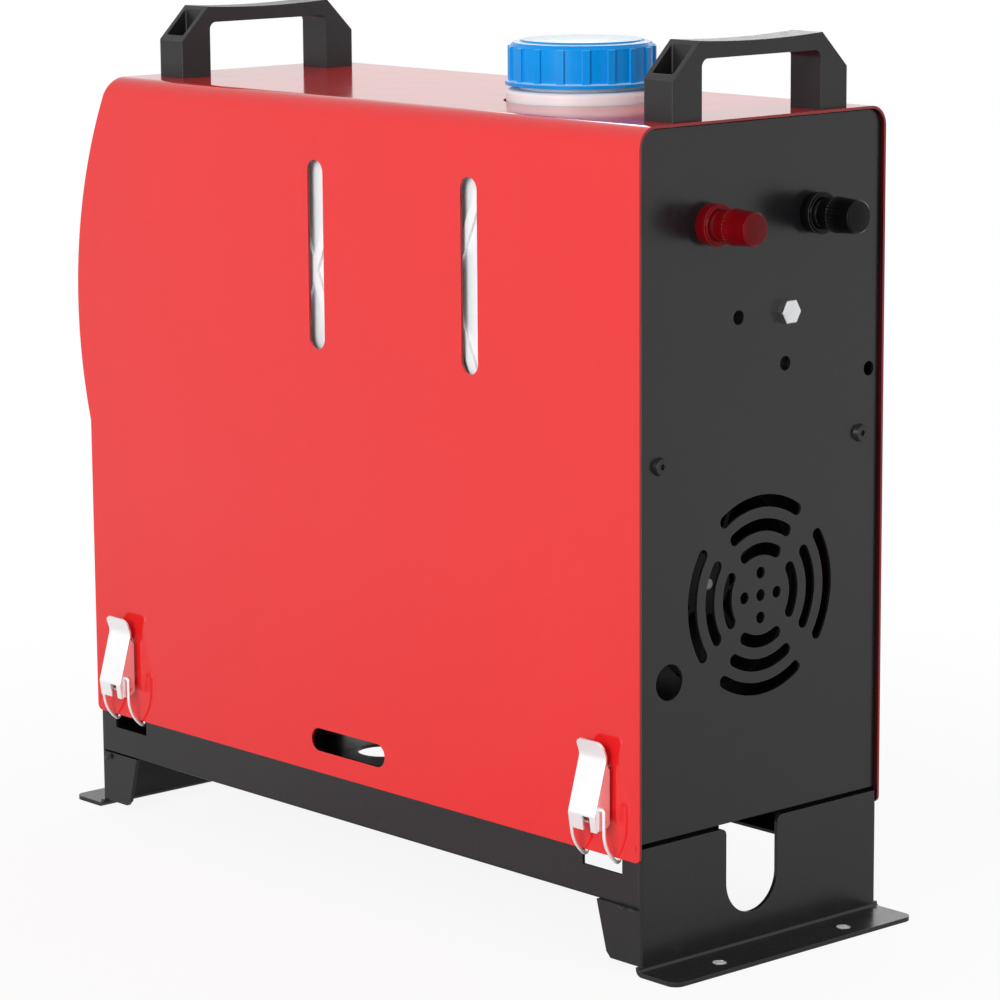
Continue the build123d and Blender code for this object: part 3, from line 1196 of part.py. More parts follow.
with BuildPart() as cover:
    with BuildSketch(across(-COVER_LENGTH)):
        add(arch(half_width, COVER_BOTTOM, COVER_TOP, COVER_BEND))
    extrude(amount=COVER_LENGTH + rear_x)
    with BuildSketch(across(-COVER_LENGTH)):
        add(arch(inner_half, COVER_BOTTOM, COVER_TOP - COVER_SHEET, COVER_BEND - COVER_SHEET))
    extrude(amount=COVER_LENGTH + rear_x, mode=Mode.SUBTRACT)
    with BuildSketch(Plane.XZ) as cover_side:
        add(side_profile(0, rear_x, COVER_BOTTOM, COVER_TOP))
        fillet(cover_side.vertices().group_by(Axis.Y)[0], COVER_CORNER)
    extrude(amount=COVER_WIDTH, both=True, mode=Mode.INTERSECT)
    with BuildSketch(Plane.XZ):
        with Locations(*[(x, SIGHT_SLOT_Z) for x in SIGHT_SLOTS_X]):
            SlotOverall(SIGHT_SLOT_LENGTH, SIGHT_SLOT_WIDTH, rotation=90)
        with Locations((0, VENT_Z)):
            SlotOverall(VENT_LENGTH, VENT_WIDTH)
        for x, side in latches.values():
            with Locations(*[(x, z) for z in RIVETS_Z]):
                Circle(RIVET_RADIUS)
    extrude(amount=COVER_WIDTH, both=True, mode=Mode.SUBTRACT)
    with BuildSketch(Plane.XY.offset(COVER_TOP)):
        with Locations((FILLER_X, 0)):
            Circle(cap_lip + CAP_HOLE_GAP)
        for x in (HANDLE_FRONT_X, HANDLE_REAR_X):
            with Locations((x, handle_screw_y), (x, -handle_screw_y)):
                Circle(HANDLE_SCREW + SLIP_FIT)
    extrude(amount=-COVER_SHEET, mode=Mode.SUBTRACT)
write(cover, "cover")


def handle(x):
    """Moulded carrying handle: two legs, an arched grip, and screw pockets in its 45 degree ends."""
    shoulder_y = HANDLE_HALF - (HANDLE_RISE - HANDLE_SHOULDER)
    with BuildPart() as grip:
        with BuildSketch(Plane.YZ):
            with BuildLine():
                Polyline((-shoulder_y, HANDLE_RISE), (-HANDLE_HALF, HANDLE_SHOULDER), (-HANDLE_HALF, 0),
                         (HANDLE_HALF, 0), (HANDLE_HALF, HANDLE_SHOULDER), (shoulder_y, HANDLE_RISE))
                ThreePointArc((shoulder_y, HANDLE_RISE), (0, HANDLE_RISE - HANDLE_SAG),
                              (-shoulder_y, HANDLE_RISE))
            make_face()
        extrude(amount=HANDLE_WIDTH / 2, both=True)
        with BuildSketch(Plane.YZ) as opening:
            with Locations((0, (HANDLE_RISE - HANDLE_GRIP) / 2)):
                Rectangle(2 * (HANDLE_HALF - HANDLE_LEG), HANDLE_RISE - HANDLE_GRIP)
            fillet(opening.vertices().group_by(Axis.Y)[-1], HANDLE_ARCH)
        extrude(amount=HANDLE_WIDTH, both=True, mode=Mode.SUBTRACT)
        fillet(grip.edges().filter_by(Axis.Z).group_by(Axis.Y)[0], HANDLE_ROUND)
        fillet(grip.edges().filter_by(Axis.Z).group_by(Axis.Y)[-1], HANDLE_ROUND)
        pocket = HANDLE_LEG - 2 * HANDLE_WALL
        with BuildSketch(Plane.XY.offset(HANDLE_SEAT)):
            with GridLocations(0, 2 * (HANDLE_HALF - HANDLE_WALL - pocket / 2), 1, 2):
                RectangleRounded(HANDLE_WIDTH - 2 * HANDLE_WALL, pocket, POCKET_CORNER)
        extrude(amount=HANDLE_RISE, mode=Mode.SUBTRACT)
        with BuildSketch(Plane.XY):
            with GridLocations(0, 2 * handle_screw_y, 1, 2):
                Circle(HANDLE_SCREW + SLIP_FIT)
        extrude(amount=HANDLE_SEAT, mode=Mode.SUBTRACT)
        add(grip.part.moved(Location((x, 0, COVER_TOP))), mode=Mode.REPLACE)
    return grip


write(handle(HANDLE_FRONT_X), "handle_front")
write(handle(HANDLE_REAR_X), "handle_rear")

handle_screws_at = [
    (x, y) for x in (HANDLE_FRONT_X, HANDLE_REAR_X) for y in (handle_screw_y, -handle_screw_y)
]

with BuildPart() as handle_screws:
    for x, y in handle_screws_at:
        seat = Plane(origin=(x, y, COVER_TOP + HANDLE_SEAT))
        with BuildSketch(seat):
            Circle(HANDLE_SCREW_HEAD[0])
        extrude(amount=HANDLE_SCREW_HEAD[1], taper=12)
        with BuildSketch(seat):
            Circle(HANDLE_SCREW)
        extrude(amount=-HANDLE_SEAT - COVER_SHEET - HANDLE_SCREW_PAST)
write(handle_screws, "handle_screws")

with BuildPart() as handle_nuts:
    for x, y in handle_screws_at:
        with BuildSketch(Plane(origin=(x, y, COVER_TOP - COVER_SHEET))):
            RegularPolygon(HANDLE_NUT[0] / 2, 6, major_radius=False)
            Circle(HANDLE_SCREW, mode=Mode.SUBTRACT)
        extrude(amount=-HANDLE_NUT[1])
write(handle_nuts, "handle_nuts")


# ================================================================ the four latches
def latch_plane(x, side):
    """Side view of a latch at x: local x runs out from the heater's middle, local y up."""
    return Plane(origin=(x, 0, 0), x_dir=(0, side, 0), z_dir=(side, 0, 0))


def latch_lever(x, side):
    """Pressed channel: a sloping front with a rounded thumb tab, a notched skirt and two cheeks."""
    plane = latch_plane(x, side)
    tab, knee, corner, hem = [(half_width + out, COVER_BOTTOM + up) for out, up in LEVER_FRONT]
    heel = half_width + LEVER_HEEL
    skin = LATCH_SHEET / 2
    with BuildPart() as lever:
        with BuildSketch(plane):
            with BuildLine():
                FilletPolyline(tab, knee, corner, hem, radius=LEVER_BENDS)
            trace(line_width=LATCH_SHEET)
        extrude(amount=LATCH_HALF, both=True)
        ends = lever.edges().filter_by(lambda edge: abs(edge.length - LATCH_SHEET) < 0.01)
        fillet(ends.group_by(Axis.Z)[-1], LEVER_TAB_CORNER)
        # the cheeks, solid at first and then hollowed out behind the front
        with BuildSketch(plane):
            with BuildLine():
                Polyline(
                    (heel, LATCH_PIVOT[1] - 1), (heel, knee[1] - 5), (knee[0] + 0.7, knee[1] - 2.5),
                    (corner[0] - 0.3, corner[1] + 1), (hem[0] - 0.3, hem[1] + 0.5),
                    (LATCH_PIVOT[0] + 1.5, hem[1] + 0.5), close=True,
                )
            make_face()
            with Locations(LATCH_PIVOT):
                Circle(LATCH_PIVOT[0] - heel)
        extrude(amount=LATCH_HALF, both=True)
        with BuildSketch(plane):
            with BuildLine():
                Polyline(
                    (half_width, COVER_BOTTOM), (half_width, tab[1]), (knee[0] - skin, knee[1]),
                    (corner[0] - skin - 0.02, corner[1]), (hem[0] - skin, hem[1]),
                    (hem[0] - skin, COVER_BOTTOM), close=True,
                )
            make_face()
        extrude(amount=LATCH_HALF - LATCH_SHEET, both=True, mode=Mode.SUBTRACT)
        # the notch that shows the hinge barrel, nearer one side, and the holes of the pin and the wire
        with BuildSketch(plane.offset(LEVER_NOTCH[0])):
            with Locations((hem[0], hem[1])):
                Rectangle(4 * LATCH_SHEET, 2 * (corner[1] - hem[1]) - 1)
        extrude(amount=LEVER_NOTCH[1] - LEVER_NOTCH[0], mode=Mode.SUBTRACT)
        with BuildSketch(plane):
            with Locations(LATCH_PIVOT):
                Circle(PIN_RADIUS + RUN_FIT)
            with Locations(LATCH_BAIL):
                Circle(WIRE_RADIUS + RUN_FIT)
        extrude(amount=LATCH_HALF, both=True, mode=Mode.SUBTRACT)
    return lever


def latch_bail(x, side):
    """Wire loop: bowed legs that pass under the cover's edge and rise into the tray's slot."""
    leg_z = LATCH_HALF + WIRE_GAP + WIRE_RADIUS
    eye_z = LATCH_HALF - LATCH_SHEET - WIRE_END
    bow = (LATCH_BAIL[0], COVER_BOTTOM + BAIL_BOW)
    bar_out = rail_half - WIRE_RADIUS
    foot = (bar_out, bow[1] - (bow[0] - bar_out) * BAIL_SLOPE)
    side_path = [(*LATCH_BAIL, leg_z), (*bow, leg_z), (*foot, leg_z), (bar_out, latch_bar_z, leg_z)]
    path = [(*LATCH_BAIL, eye_z), *side_path]
    path += [(out, up, -z) for out, up, z in reversed(path)]
    radii = [BAIL_CORNER, *BAIL_RADII, BAIL_CORNER]
    with BuildPart() as bail:
        with BuildLine(latch_plane(x, side)) as wire:
            FilletPolyline(*path, radius=radii + radii[::-1])
        with BuildSketch(Plane(origin=wire.line @ 0, z_dir=wire.line % 0)):
            Circle(WIRE_RADIUS)
        sweep(path=wire.line)
    return bail


for name, (x, side) in latches.items():
    write(latch_lever(x, side), f"latch_lever_{name}")
    write(latch_bail(x, side), f"latch_bail_{name}")

with BuildPart() as latch_plates:
    for x, side in latches.values():
        plane = latch_plane(x, side)
        plate_bottom, plate_top = PLATE_Z
        plate_middle = (plate_bottom + plate_top) / 2
        face = Plane(origin=(x, side * half_width, plate_middle), x_dir=(1, 0, 0), z_dir=(0, side, 0))
        with BuildSketch(face):
            RectangleRounded(PLATE_WIDTH, plate_top - plate_bottom, PLATE_CORNER)
            with Locations(*[(0, -side * (z - plate_middle)) for z in RIVETS_Z]):
                Circle(RIVET_RADIUS, mode=Mode.SUBTRACT)
        extrude(amount=PLATE_SHEET)
        # its lower end is rolled into a knuckle around the pin
        with BuildSketch(plane):
            with BuildLine():
                FilletPolyline(
                    (half_width + PLATE_SHEET / 2, plate_bottom + 1.5),
                    (half_width + PLATE_SHEET / 2, plate_bottom - 0.6),
                    (LATCH_PIVOT[0] - 1.2, LATCH_PIVOT[1] + 0.9), radius=0.8,
                )
            trace(line_width=PLATE_SHEET)
            with Locations(LATCH_PIVOT):
                Circle(KNUCKLE_RADIUS)
        extrude(amount=KNUCKLE_HALF, both=True)
        with BuildSketch(plane):
            with Locations(LATCH_PIVOT):
                Circle(PIN_RADIUS)
        extrude(amount=KNUCKLE_HALF + 1, both=True, mode=Mode.SUBTRACT)
write(latch_plates, "latch_plates")

with BuildPart() as latch_pins:
    for x, side in latches.values():
        with BuildSketch(latch_plane(x, side)):
            with Locations(LATCH_PIVOT):
                Circle(PIN_RADIUS)
        extrude(amount=LATCH_HALF + PIN_PAST, both=True)
write(latch_pins, "latch_pins")

with BuildPart() as latch_rivets:
    for x, side in latches.values():
        for z in RIVETS_Z:
            seat = Plane(origin=(x, side * (half_width + PLATE_SHEET), z), z_dir=(0, side, 0))
            with BuildSketch(seat):
                Circle(RIVET_HEAD[0])
            extrude(amount=RIVET_HEAD[1], taper=25)
            with BuildSketch(seat):
                Circle(RIVET_RADIUS)
            extrude(amount=-PLATE_SHEET - COVER_SHEET)
            with BuildSketch(seat.offset(-PLATE_SHEET - COVER_SHEET)):
                Circle(RIVET_TAIL[0])
            extrude(amount=-RIVET_TAIL[1])
write(latch_rivets, "latch_rivets")
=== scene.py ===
import json
import math

import bmesh
import bpy
from mathutils import Matrix, Vector


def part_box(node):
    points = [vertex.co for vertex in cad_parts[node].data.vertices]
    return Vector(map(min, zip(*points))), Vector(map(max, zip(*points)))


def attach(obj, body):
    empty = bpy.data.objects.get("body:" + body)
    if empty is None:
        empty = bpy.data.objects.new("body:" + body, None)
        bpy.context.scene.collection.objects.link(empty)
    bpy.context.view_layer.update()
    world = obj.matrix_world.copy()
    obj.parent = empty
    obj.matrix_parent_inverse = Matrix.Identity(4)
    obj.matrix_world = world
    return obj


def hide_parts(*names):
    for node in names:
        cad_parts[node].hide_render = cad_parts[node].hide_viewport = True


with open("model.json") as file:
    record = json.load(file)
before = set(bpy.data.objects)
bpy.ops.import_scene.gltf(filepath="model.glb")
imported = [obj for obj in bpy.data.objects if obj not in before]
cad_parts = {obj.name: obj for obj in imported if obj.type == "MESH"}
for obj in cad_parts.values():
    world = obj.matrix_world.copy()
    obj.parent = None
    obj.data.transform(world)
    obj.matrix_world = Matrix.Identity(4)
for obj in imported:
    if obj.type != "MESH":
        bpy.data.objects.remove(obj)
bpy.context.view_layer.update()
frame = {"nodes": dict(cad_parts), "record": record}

nodes = frame["nodes"]
millimetre = 0.001
NOTCH_MIDDLE = -6 * millimetre      # place along Y of the notch in either leg


# ---------------------------------------------------------------- materials
def wire(tree, output, socket):
    """Join an output socket to an input socket."""
    tree.links.new(output, socket)


def noise(tree, scale, detail=3.0, roughness=0.55):
    """Noise in the object's own space, in cycles per metre. Returns its factor socket."""
    place = tree.nodes.new("ShaderNodeTexCoord")
    texture = tree.nodes.new("ShaderNodeTexNoise")
    texture.inputs["Scale"].default_value = scale
    texture.inputs["Detail"].default_value = detail
    texture.inputs["Roughness"].default_value = roughness
    wire(tree, place.outputs["Object"], texture.inputs["Vector"])
    return texture.outputs["Fac"]


def spread(tree, value, low, high, start=0.3, end=0.7):
    """Map a socket's start..end to low..high."""
    band = tree.nodes.new("ShaderNodeMapRange")
    band.inputs["From Min"].default_value = start
    band.inputs["From Max"].default_value = end
    band.inputs["To Min"].default_value = low
    band.inputs["To Max"].default_value = high
    wire(tree, value, band.inputs["Value"])
    return band.outputs["Result"]


def blend_colours(tree, factor, first, second):
    """Mix two colours, each a tuple or a socket, by a factor socket."""
    mix = tree.nodes.new("ShaderNodeMix")
    mix.data_type = "RGBA"
    wire(tree, factor, mix.inputs["Factor"])
    for socket, colour in ((mix.inputs[6], first), (mix.inputs[7], second)):
        if isinstance(colour, tuple):
            socket.default_value = (*colour, 1)
        else:
            wire(tree, colour, socket)
    return mix.outputs[2]


def shade(colour, factor):
    """The colour made lighter or darker."""
    return tuple(min(1.0, channel * factor) for channel in colour)


ROUGHNESS_SWING = 0.15              # share by which the roughness varies either way
FINE_CLOUD = 9                      # how much finer the roughness varies than the colour
EDGE_RADIUS = 0.35 * millimetre     # over which an edge is drawn rounded
EDGE_SAMPLES = 6
GRAIN_DEPTH = 0.2 * millimetre
EDGE_HIGHLIGHT_SHARE = 0.8                    # of the painted edge highlight colour at a sharp edge
EDGE_HIGHLIGHT_AGREEMENT = (0.78, 0.985)      # of rounded and true normal: sharp edge, and flat
TOP_GLARE_UPWARD = (0.8, 1.0)           # upward share of the normal where the painted top glare starts and is full


def surface(
    name, colour, roughness, metallic=0.0, mottle=0.05, mottle_scale=25, grain=0.1, grain_scale=900,
    worn=None, faded=None, **sockets
):
    """Material with cloudy colour and roughness, a fine grain, edges drawn rounded, and a painted
    highlight on its edges.

    Its sharp edges get a painted highlight in the edge colour, and what faces straight up gets a painted
    glare in the upward colour.
    """
    material = bpy.data.materials.new(name)
    material.use_nodes = True
    tree = material.node_tree
    shader = tree.nodes["Principled BSDF"]
    shader.inputs["Metallic"].default_value = metallic
    cloud = noise(tree, mottle_scale)
    tint = blend_colours(
        tree, spread(tree, cloud, 0, 1), shade(colour, 1 - mottle), shade(colour, 1 + mottle)
    )
    rounded = tree.nodes.new("ShaderNodeBevel")
    rounded.samples = EDGE_SAMPLES
    rounded.inputs["Radius"].default_value = EDGE_RADIUS
    geometry = tree.nodes.new("ShaderNodeNewGeometry")
    # Painted glare: faces that look straight up turn toward a paler colour.
    if faded:
        upward = tree.nodes.new("ShaderNodeSeparateXYZ")
        wire(tree, geometry.outputs["Normal"], upward.inputs["Vector"])
        tint = blend_colours(tree, spread(tree, upward.outputs["Z"], 0, 1, *TOP_GLARE_UPWARD), tint, faded)
    # Painted highlight: at sharp edges, where the rounded normal parts from the true one, the colour
    # turns lighter.
    if worn:
        agreement = tree.nodes.new("ShaderNodeVectorMath")
        agreement.operation = "DOT_PRODUCT"
        wire(tree, rounded.outputs["Normal"], agreement.inputs[0])
        wire(tree, geometry.outputs["Normal"], agreement.inputs[1])
        edge = spread(tree, agreement.outputs["Value"], EDGE_HIGHLIGHT_SHARE, 0, *EDGE_HIGHLIGHT_AGREEMENT)
        tint = blend_colours(tree, edge, tint, worn)
    wire(tree, tint, shader.inputs["Base Color"])
    fine = noise(tree, mottle_scale * FINE_CLOUD, 2)
    smooth, rough = roughness * (1 - ROUGHNESS_SWING), roughness * (1 + ROUGHNESS_SWING)
    wire(tree, spread(tree, fine, smooth, rough), shader.inputs["Roughness"])
    bump = tree.nodes.new("ShaderNodeBump")
    bump.inputs["Strength"].default_value = grain
    bump.inputs["Distance"].default_value = GRAIN_DEPTH
    wire(tree, noise(tree, grain_scale, 2), bump.inputs["Height"])
    wire(tree, rounded.outputs["Normal"], bump.inputs["Normal"])
    wire(tree, bump.outputs["Normal"], shader.inputs["Normal"])
    for socket, value in sockets.items():
        shader.inputs[socket.replace("_", " ")].default_value = value
    return material


# Edge colours below are painted highlights on those surfaces' edges.
looks = {           # of every surface, colours as shares of red, green and blue
    "red_paint": dict(
        colour=(0.80, 0.014, 0.016), roughness=0.11, mottle=0.015, mottle_scale=6, grain=0.0015,
        grain_scale=60,
    ),
    "charcoal_paint": dict(
        colour=(0.010, 0.010, 0.0115), roughness=0.25, mottle=0.10, mottle_scale=12, grain=0.03,
        grain_scale=1800, worn=(0.06, 0.06, 0.065), Specular_IOR_Level=0.42,
    ),
    "black_screw": dict(
        colour=(0.018, 0.018, 0.019), roughness=0.36, metallic=0.4, mottle=0.2, mottle_scale=300,
        grain=0.2, grain_scale=2500, worn=(0.12, 0.12, 0.12),
    ),
    "zinc_steel": dict(
        colour=(0.70, 0.71, 0.72), roughness=0.24, metallic=1.0, mottle=0.08, mottle_scale=60,
        grain=0.12, grain_scale=1200,
    ),
    "latch_steel": dict(
        colour=(0.96, 0.965, 0.97), roughness=0.36, metallic=0.75, mottle=0.03, mottle_scale=50,
        grain=0.05, grain_scale=700,
    ),
    "white_tank": dict(
        colour=(0.95, 0.955, 0.975), roughness=0.38, mottle=0.02, mottle_scale=20, grain=0.12,
        grain_scale=500, Subsurface_Weight=0.2, Subsurface_Scale=0.004,
    ),
    # The cap's lighter edge colour is a painted highlight, and its paler upward colour a painted glare on
    # its top.
    "blue_cap": dict(
        colour=(0.0, 0.32, 0.88), roughness=0.22, mottle=0.05, mottle_scale=40, grain=0.05,
        grain_scale=800, worn=(0.04, 0.62, 0.98), faded=(0.74, 0.89, 0.98), Specular_IOR_Level=0.16,
    ),
    "black_rubber": dict(
        colour=(0.02, 0.02, 0.02), roughness=0.7, mottle=0.15, mottle_scale=60, grain=0.3,
        grain_scale=1400,
    ),
    "black_plastic": dict(
        colour=(0.013, 0.013, 0.0145), roughness=0.40, mottle=0.10, mottle_scale=30, grain=0.20,
        grain_scale=1300, worn=(0.085, 0.085, 0.09), Specular_IOR_Level=0.36,
    ),
    "cast_alloy": dict(
        colour=(0.50, 0.51, 0.52), roughness=0.45, metallic=0.9, mottle=0.12, mottle_scale=70,
        grain=0.5, grain_scale=900,
    ),
    "gasket_board": dict(
        colour=(0.22, 0.19, 0.15), roughness=0.8, mottle=0.15, mottle_scale=150, grain=0.4,
        grain_scale=900,
    ),
    "motor_steel": dict(
        colour=(0.46, 0.47, 0.49), roughness=0.30, metallic=1.0, mottle=0.06, mottle_scale=50,
        grain=0.1, grain_scale=900,
    ),
    "pipe_steel": dict(
        colour=(0.45, 0.44, 0.42), roughness=0.33, metallic=1.0, mottle=0.12, mottle_scale=40,
        grain=0.15, grain_scale=500,
    ),
    "filter_shell": dict(
        colour=(0.62, 0.66, 0.60), roughness=0.25, mottle=0.06, mottle_scale=60, grain=0.08,
        grain_scale=700, Subsurface_Weight=0.3, Subsurface_Scale=0.003,
    ),
    "red_terminal": dict(
        colour=(0.15, 0.001, 0.003), roughness=0.14, mottle=0.10, mottle_scale=120, grain=0.04,
        grain_scale=1800, worn=(0.50, 0.05, 0.06), Specular_IOR_Level=0.12,
    ),
    "black_terminal": dict(
        colour=(0.002, 0.002, 0.002), roughness=0.14, mottle=0.10, mottle_scale=120, grain=0.04,
        grain_scale=1800, worn=(0.12, 0.12, 0.12), Specular_IOR_Level=0.12,
    ),
    "display_glass": dict(
        colour=(0.006, 0.010, 0.016), roughness=0.10, mottle=0.10, mottle_scale=30, grain=0.02,
        grain_scale=400, Coat_Weight=0.6,
    ),
    "key_rubber": dict(
        colour=(0.10, 0.10, 0.11), roughness=0.55, mottle=0.08, mottle_scale=90, grain=0.25,
        grain_scale=1600, worn=(0.2, 0.2, 0.21),
    ),
    "display_ink": dict(
        colour=(0.35, 0.75, 0.85), roughness=0.35, mottle=0.05, mottle_scale=200, grain=0.05,
        grain_scale=900, Emission_Color=(0.25, 0.75, 0.9, 1), Emission_Strength=0.8,
    ),
    # Near black and all but unlit: painted shadow in the seams behind the end panels.
    "seam_shadow_black": dict(
        colour=(0.001, 0.001, 0.001), roughness=0.95, mottle=0.3, mottle_scale=300, grain=0.4,
        grain_scale=1500, Specular_IOR_Level=0.05,
    ),
    "pale_ink": dict(
        colour=(0.62, 0.63, 0.64), roughness=0.5, mottle=0.05, mottle_scale=300, grain=0.1,
        grain_scale=1500,
    ),
}
finishes = {name: surface(name, **look) for name, look in looks.items()}

CUT_END_FACING = (0.9, 0.98)        # rearward share of the normal where the painted shade on the cut end starts and is full


def shade_shell(material, middle, inside_shade, cut):
    """Painted shade inside a shell that bulges out from its middle, and painted shade on its rear cut
    end.
    """
    tree = material.node_tree
    base = tree.nodes["Principled BSDF"].inputs["Base Color"]
    paint = base.links[0].from_socket
    place = tree.nodes.new("ShaderNodeTexCoord")
    outward = tree.nodes.new("ShaderNodeVectorMath")
    outward.operation = "SUBTRACT"
    wire(tree, place.outputs["Object"], outward.inputs[0])
    outward.inputs[1].default_value = middle
    facing = tree.nodes.new("ShaderNodeVectorMath")
    facing.operation = "DOT_PRODUCT"
    wire(tree, outward.outputs["Vector"], facing.inputs[0])
    wire(tree, place.outputs["Normal"], facing.inputs[1])
    # Painted shade: faces that look in toward the middle get the dark inside colour.
    inside = spread(tree, facing.outputs["Value"], 1, 0, -millimetre, millimetre)
    along = tree.nodes.new("ShaderNodeSeparateXYZ")
    wire(tree, place.outputs["Normal"], along.inputs["Vector"])
    # Painted shade: the rear cut end gets a darker red.
    rearward = spread(tree, along.outputs["X"], 0, 1, *CUT_END_FACING)
    paint = blend_colours(tree, inside, paint, inside_shade)
    wire(tree, blend_colours(tree, rearward, paint, cut), base)


# The red cover's inside and rear cut end are darkened: painted shade.
shade_shell(
    finishes["red_paint"], middle=(0, 0, 0.2), inside_shade=(0.05, 0.004, 0.004), cut=(0.30, 0.003, 0.007)
)
for entry in frame["record"]["subparts"]:
    mesh = nodes[entry["node"]].data
    mesh.materials.clear()
    mesh.materials.append(finishes[entry["material_slot"]])


# ---------------------------------------------------------------- small pieces
FULL_TURN = 360
BAND_FACET = 12                     # about the degrees of a band that one facet covers
BAND_LEAST = 6                      # facets of a short band
DOME_RISES = (0, 30, 60)            # degrees up a dome at which it has a row of points
DOME_FACET = 24                     # degrees round a dome between two points
INK = 0.06 * millimetre             # height of printed marks
WELD_DISTANCE = 0.001 * millimetre  # points nearer than this are one point


def mesh_object(name, form):
    """Object in the scene with the shape of a bmesh, which is used up."""
    mesh = bpy.data.meshes.new(name)
    form.to_mesh(mesh)
    form.free()
    piece = bpy.data.objects.new(name, mesh)
    bpy.context.collection.objects.link(piece)
    return piece


def finish_piece(name, form, finish, body):
    """Turn a bmesh into a piece that rides on a body."""
    bmesh.ops.recalc_face_normals(form, faces=form.faces)
    piece = mesh_object(name, form)
    piece.data.materials.append(finishes[finish])
    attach(piece, body)


def add_slab(form, outline, place, height):
    """Thin slab over an outline of (across, up) points; place turns across, up and out into a point."""
    rings = [[form.verts.new(place(across, up, out)) for across, up in outline] for out in (0, height)]
    form.faces.new(rings[0])
    form.faces.new(rings[1])
    for index in range(len(outline)):
        near, far = index, (index + 1) % len(outline)
        form.faces.new((rings[0][near], rings[0][far], rings[1][far], rings[1][near]))


def add_band(form, middle, radius, width, place, height, start=0, sweep=FULL_TURN):
    """Thin slab over an arc of a ring, angles in degrees from the right, anticlockwise."""
    pieces = max(BAND_LEAST, round(sweep / BAND_FACET))
    closed = sweep == FULL_TURN
    stations = []
    for index in range(pieces if closed else pieces + 1):
        angle = math.radians(start + sweep * index / pieces)
        inner, outer = radius - width / 2, radius + width / 2
        corners = ((inner, 0), (outer, 0), (outer, height), (inner, height))
        stations.append([
            form.verts.new(place(
                middle[0] + reach * math.cos(angle), middle[1] + reach * math.sin(angle), out
            ))
            for reach, out in corners
        ])
    for index in range(pieces):
        here, there = stations[index], stations[(index + 1) % len(stations)]
        for corner in range(len(here)):
            after = (corner + 1) % len(here)
            form.faces.new((here[corner], here[after], there[after], there[corner]))
    if not closed:
        form.faces.new(stations[0])
        form.faces.new(stations[-1])


def add_dome(form, middle, radius, height, place):
    """Low round head, its rim on the surface."""
    rows = []
    for rise in DOME_RISES:
        reach, out = radius * math.cos(math.radians(rise)), height * math.sin(math.radians(rise))
        rows.append([
            form.verts.new(place(
                middle[0] + reach * math.cos(math.radians(turn)),
                middle[1] + reach * math.sin(math.radians(turn)), out
            ))
            for turn in range(0, FULL_TURN, DOME_FACET)
        ])
    for lower, upper in zip(rows, rows[1:]):
        for index in range(len(lower)):
            after = (index + 1) % len(lower)
            form.faces.new((lower[index], lower[after], upper[after], upper[index]))
    form.faces.new(rows[0])
    form.faces.new(rows[-1])


def on_side(face):
    """Placer for marks on a side: across runs along X, and out is away from the middle."""
    def place(across, up, out):
        return Vector((across, face + math.copysign(out, face), up))
    return place


def on_front(node):
    """Placer for marks about the middle of a node's face that looks to -X, across to the right."""
    low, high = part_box(node)
    middle_y, middle_z = (low[1] + high[1]) / 2, (low[2] + high[2]) / 2

    def place(across, up, out):
        return Vector((low[0] - out, middle_y - across, middle_z + up))
    return place


def bar(middle, length, width, upright=False):
    """Outline of a bar with pointed ends, lying across or upright."""
    half, tip = length / 2, width / 2
    shoulder = half - tip
    lying = (
        (-half, 0), (-shoulder, tip), (shoulder, tip), (half, 0), (shoulder, -tip), (-shoulder, -tip)
    )
    turned = ((-up, across) for across, up in lying) if upright else lying
    return [(middle[0] + across, middle[1] + up) for across, up in turned]


SEGMENTS = {        # the seven bars of a digit: across, up (in half heights), upright or not
    "top": (0, 1, False), "centre": (0, 0, False), "bottom": (0, -1, False),
    "upper_left": (-1, 0.5, True), "upper_right": (1, 0.5, True),
    "lower_left": (-1, -0.5, True), "lower_right": (1, -0.5, True),
}
DIGITS = {
    "2": ("top", "upper_right", "centre", "lower_left", "bottom"),
    "4": ("upper_left", "upper_right", "centre", "lower_right"),
}
LEVEL_BARS = 8


def display_marks():
    """Two digits, a degree ring and a row of level bars on the display."""
    place = on_front("display_lens")
    form = bmesh.new()
    half_width, half_height, stroke = 3.8 * millimetre, 7.2 * millimetre, 1.7 * millimetre
    gap, digits_up = 0.3 * millimetre, 3 * millimetre
    for digit, across in (("2", -9.5 * millimetre), ("4", 3.5 * millimetre)):
        for segment in DIGITS[digit]:
            side, level, upright = SEGMENTS[segment]
            middle = (across + side * half_width, digits_up + level * half_height)
            length = (half_height if upright else 2 * half_width) - gap
            add_slab(form, bar(middle, length, stroke, upright), place, INK)
    ring_middle = (11.5 * millimetre, 9 * millimetre)
    ring_radius, ring_width = 1.6 * millimetre, 0.8 * millimetre
    add_band(form, ring_middle, ring_radius, ring_width, place, INK)
    first_bar, bar_pitch, bars_up = -16.1 * millimetre, 4.6 * millimetre, -11 * millimetre
    shortest, growth, bar_width = 1.6 * millimetre, 0.5 * millimetre, 1.2 * millimetre
    for step in range(LEVEL_BARS):
        outline = bar((first_bar + step * bar_pitch, bars_up), shortest + step * growth, bar_width, True)
        add_slab(form, outline, place, INK)
    finish_piece("display_marks", form, "display_ink", "base")


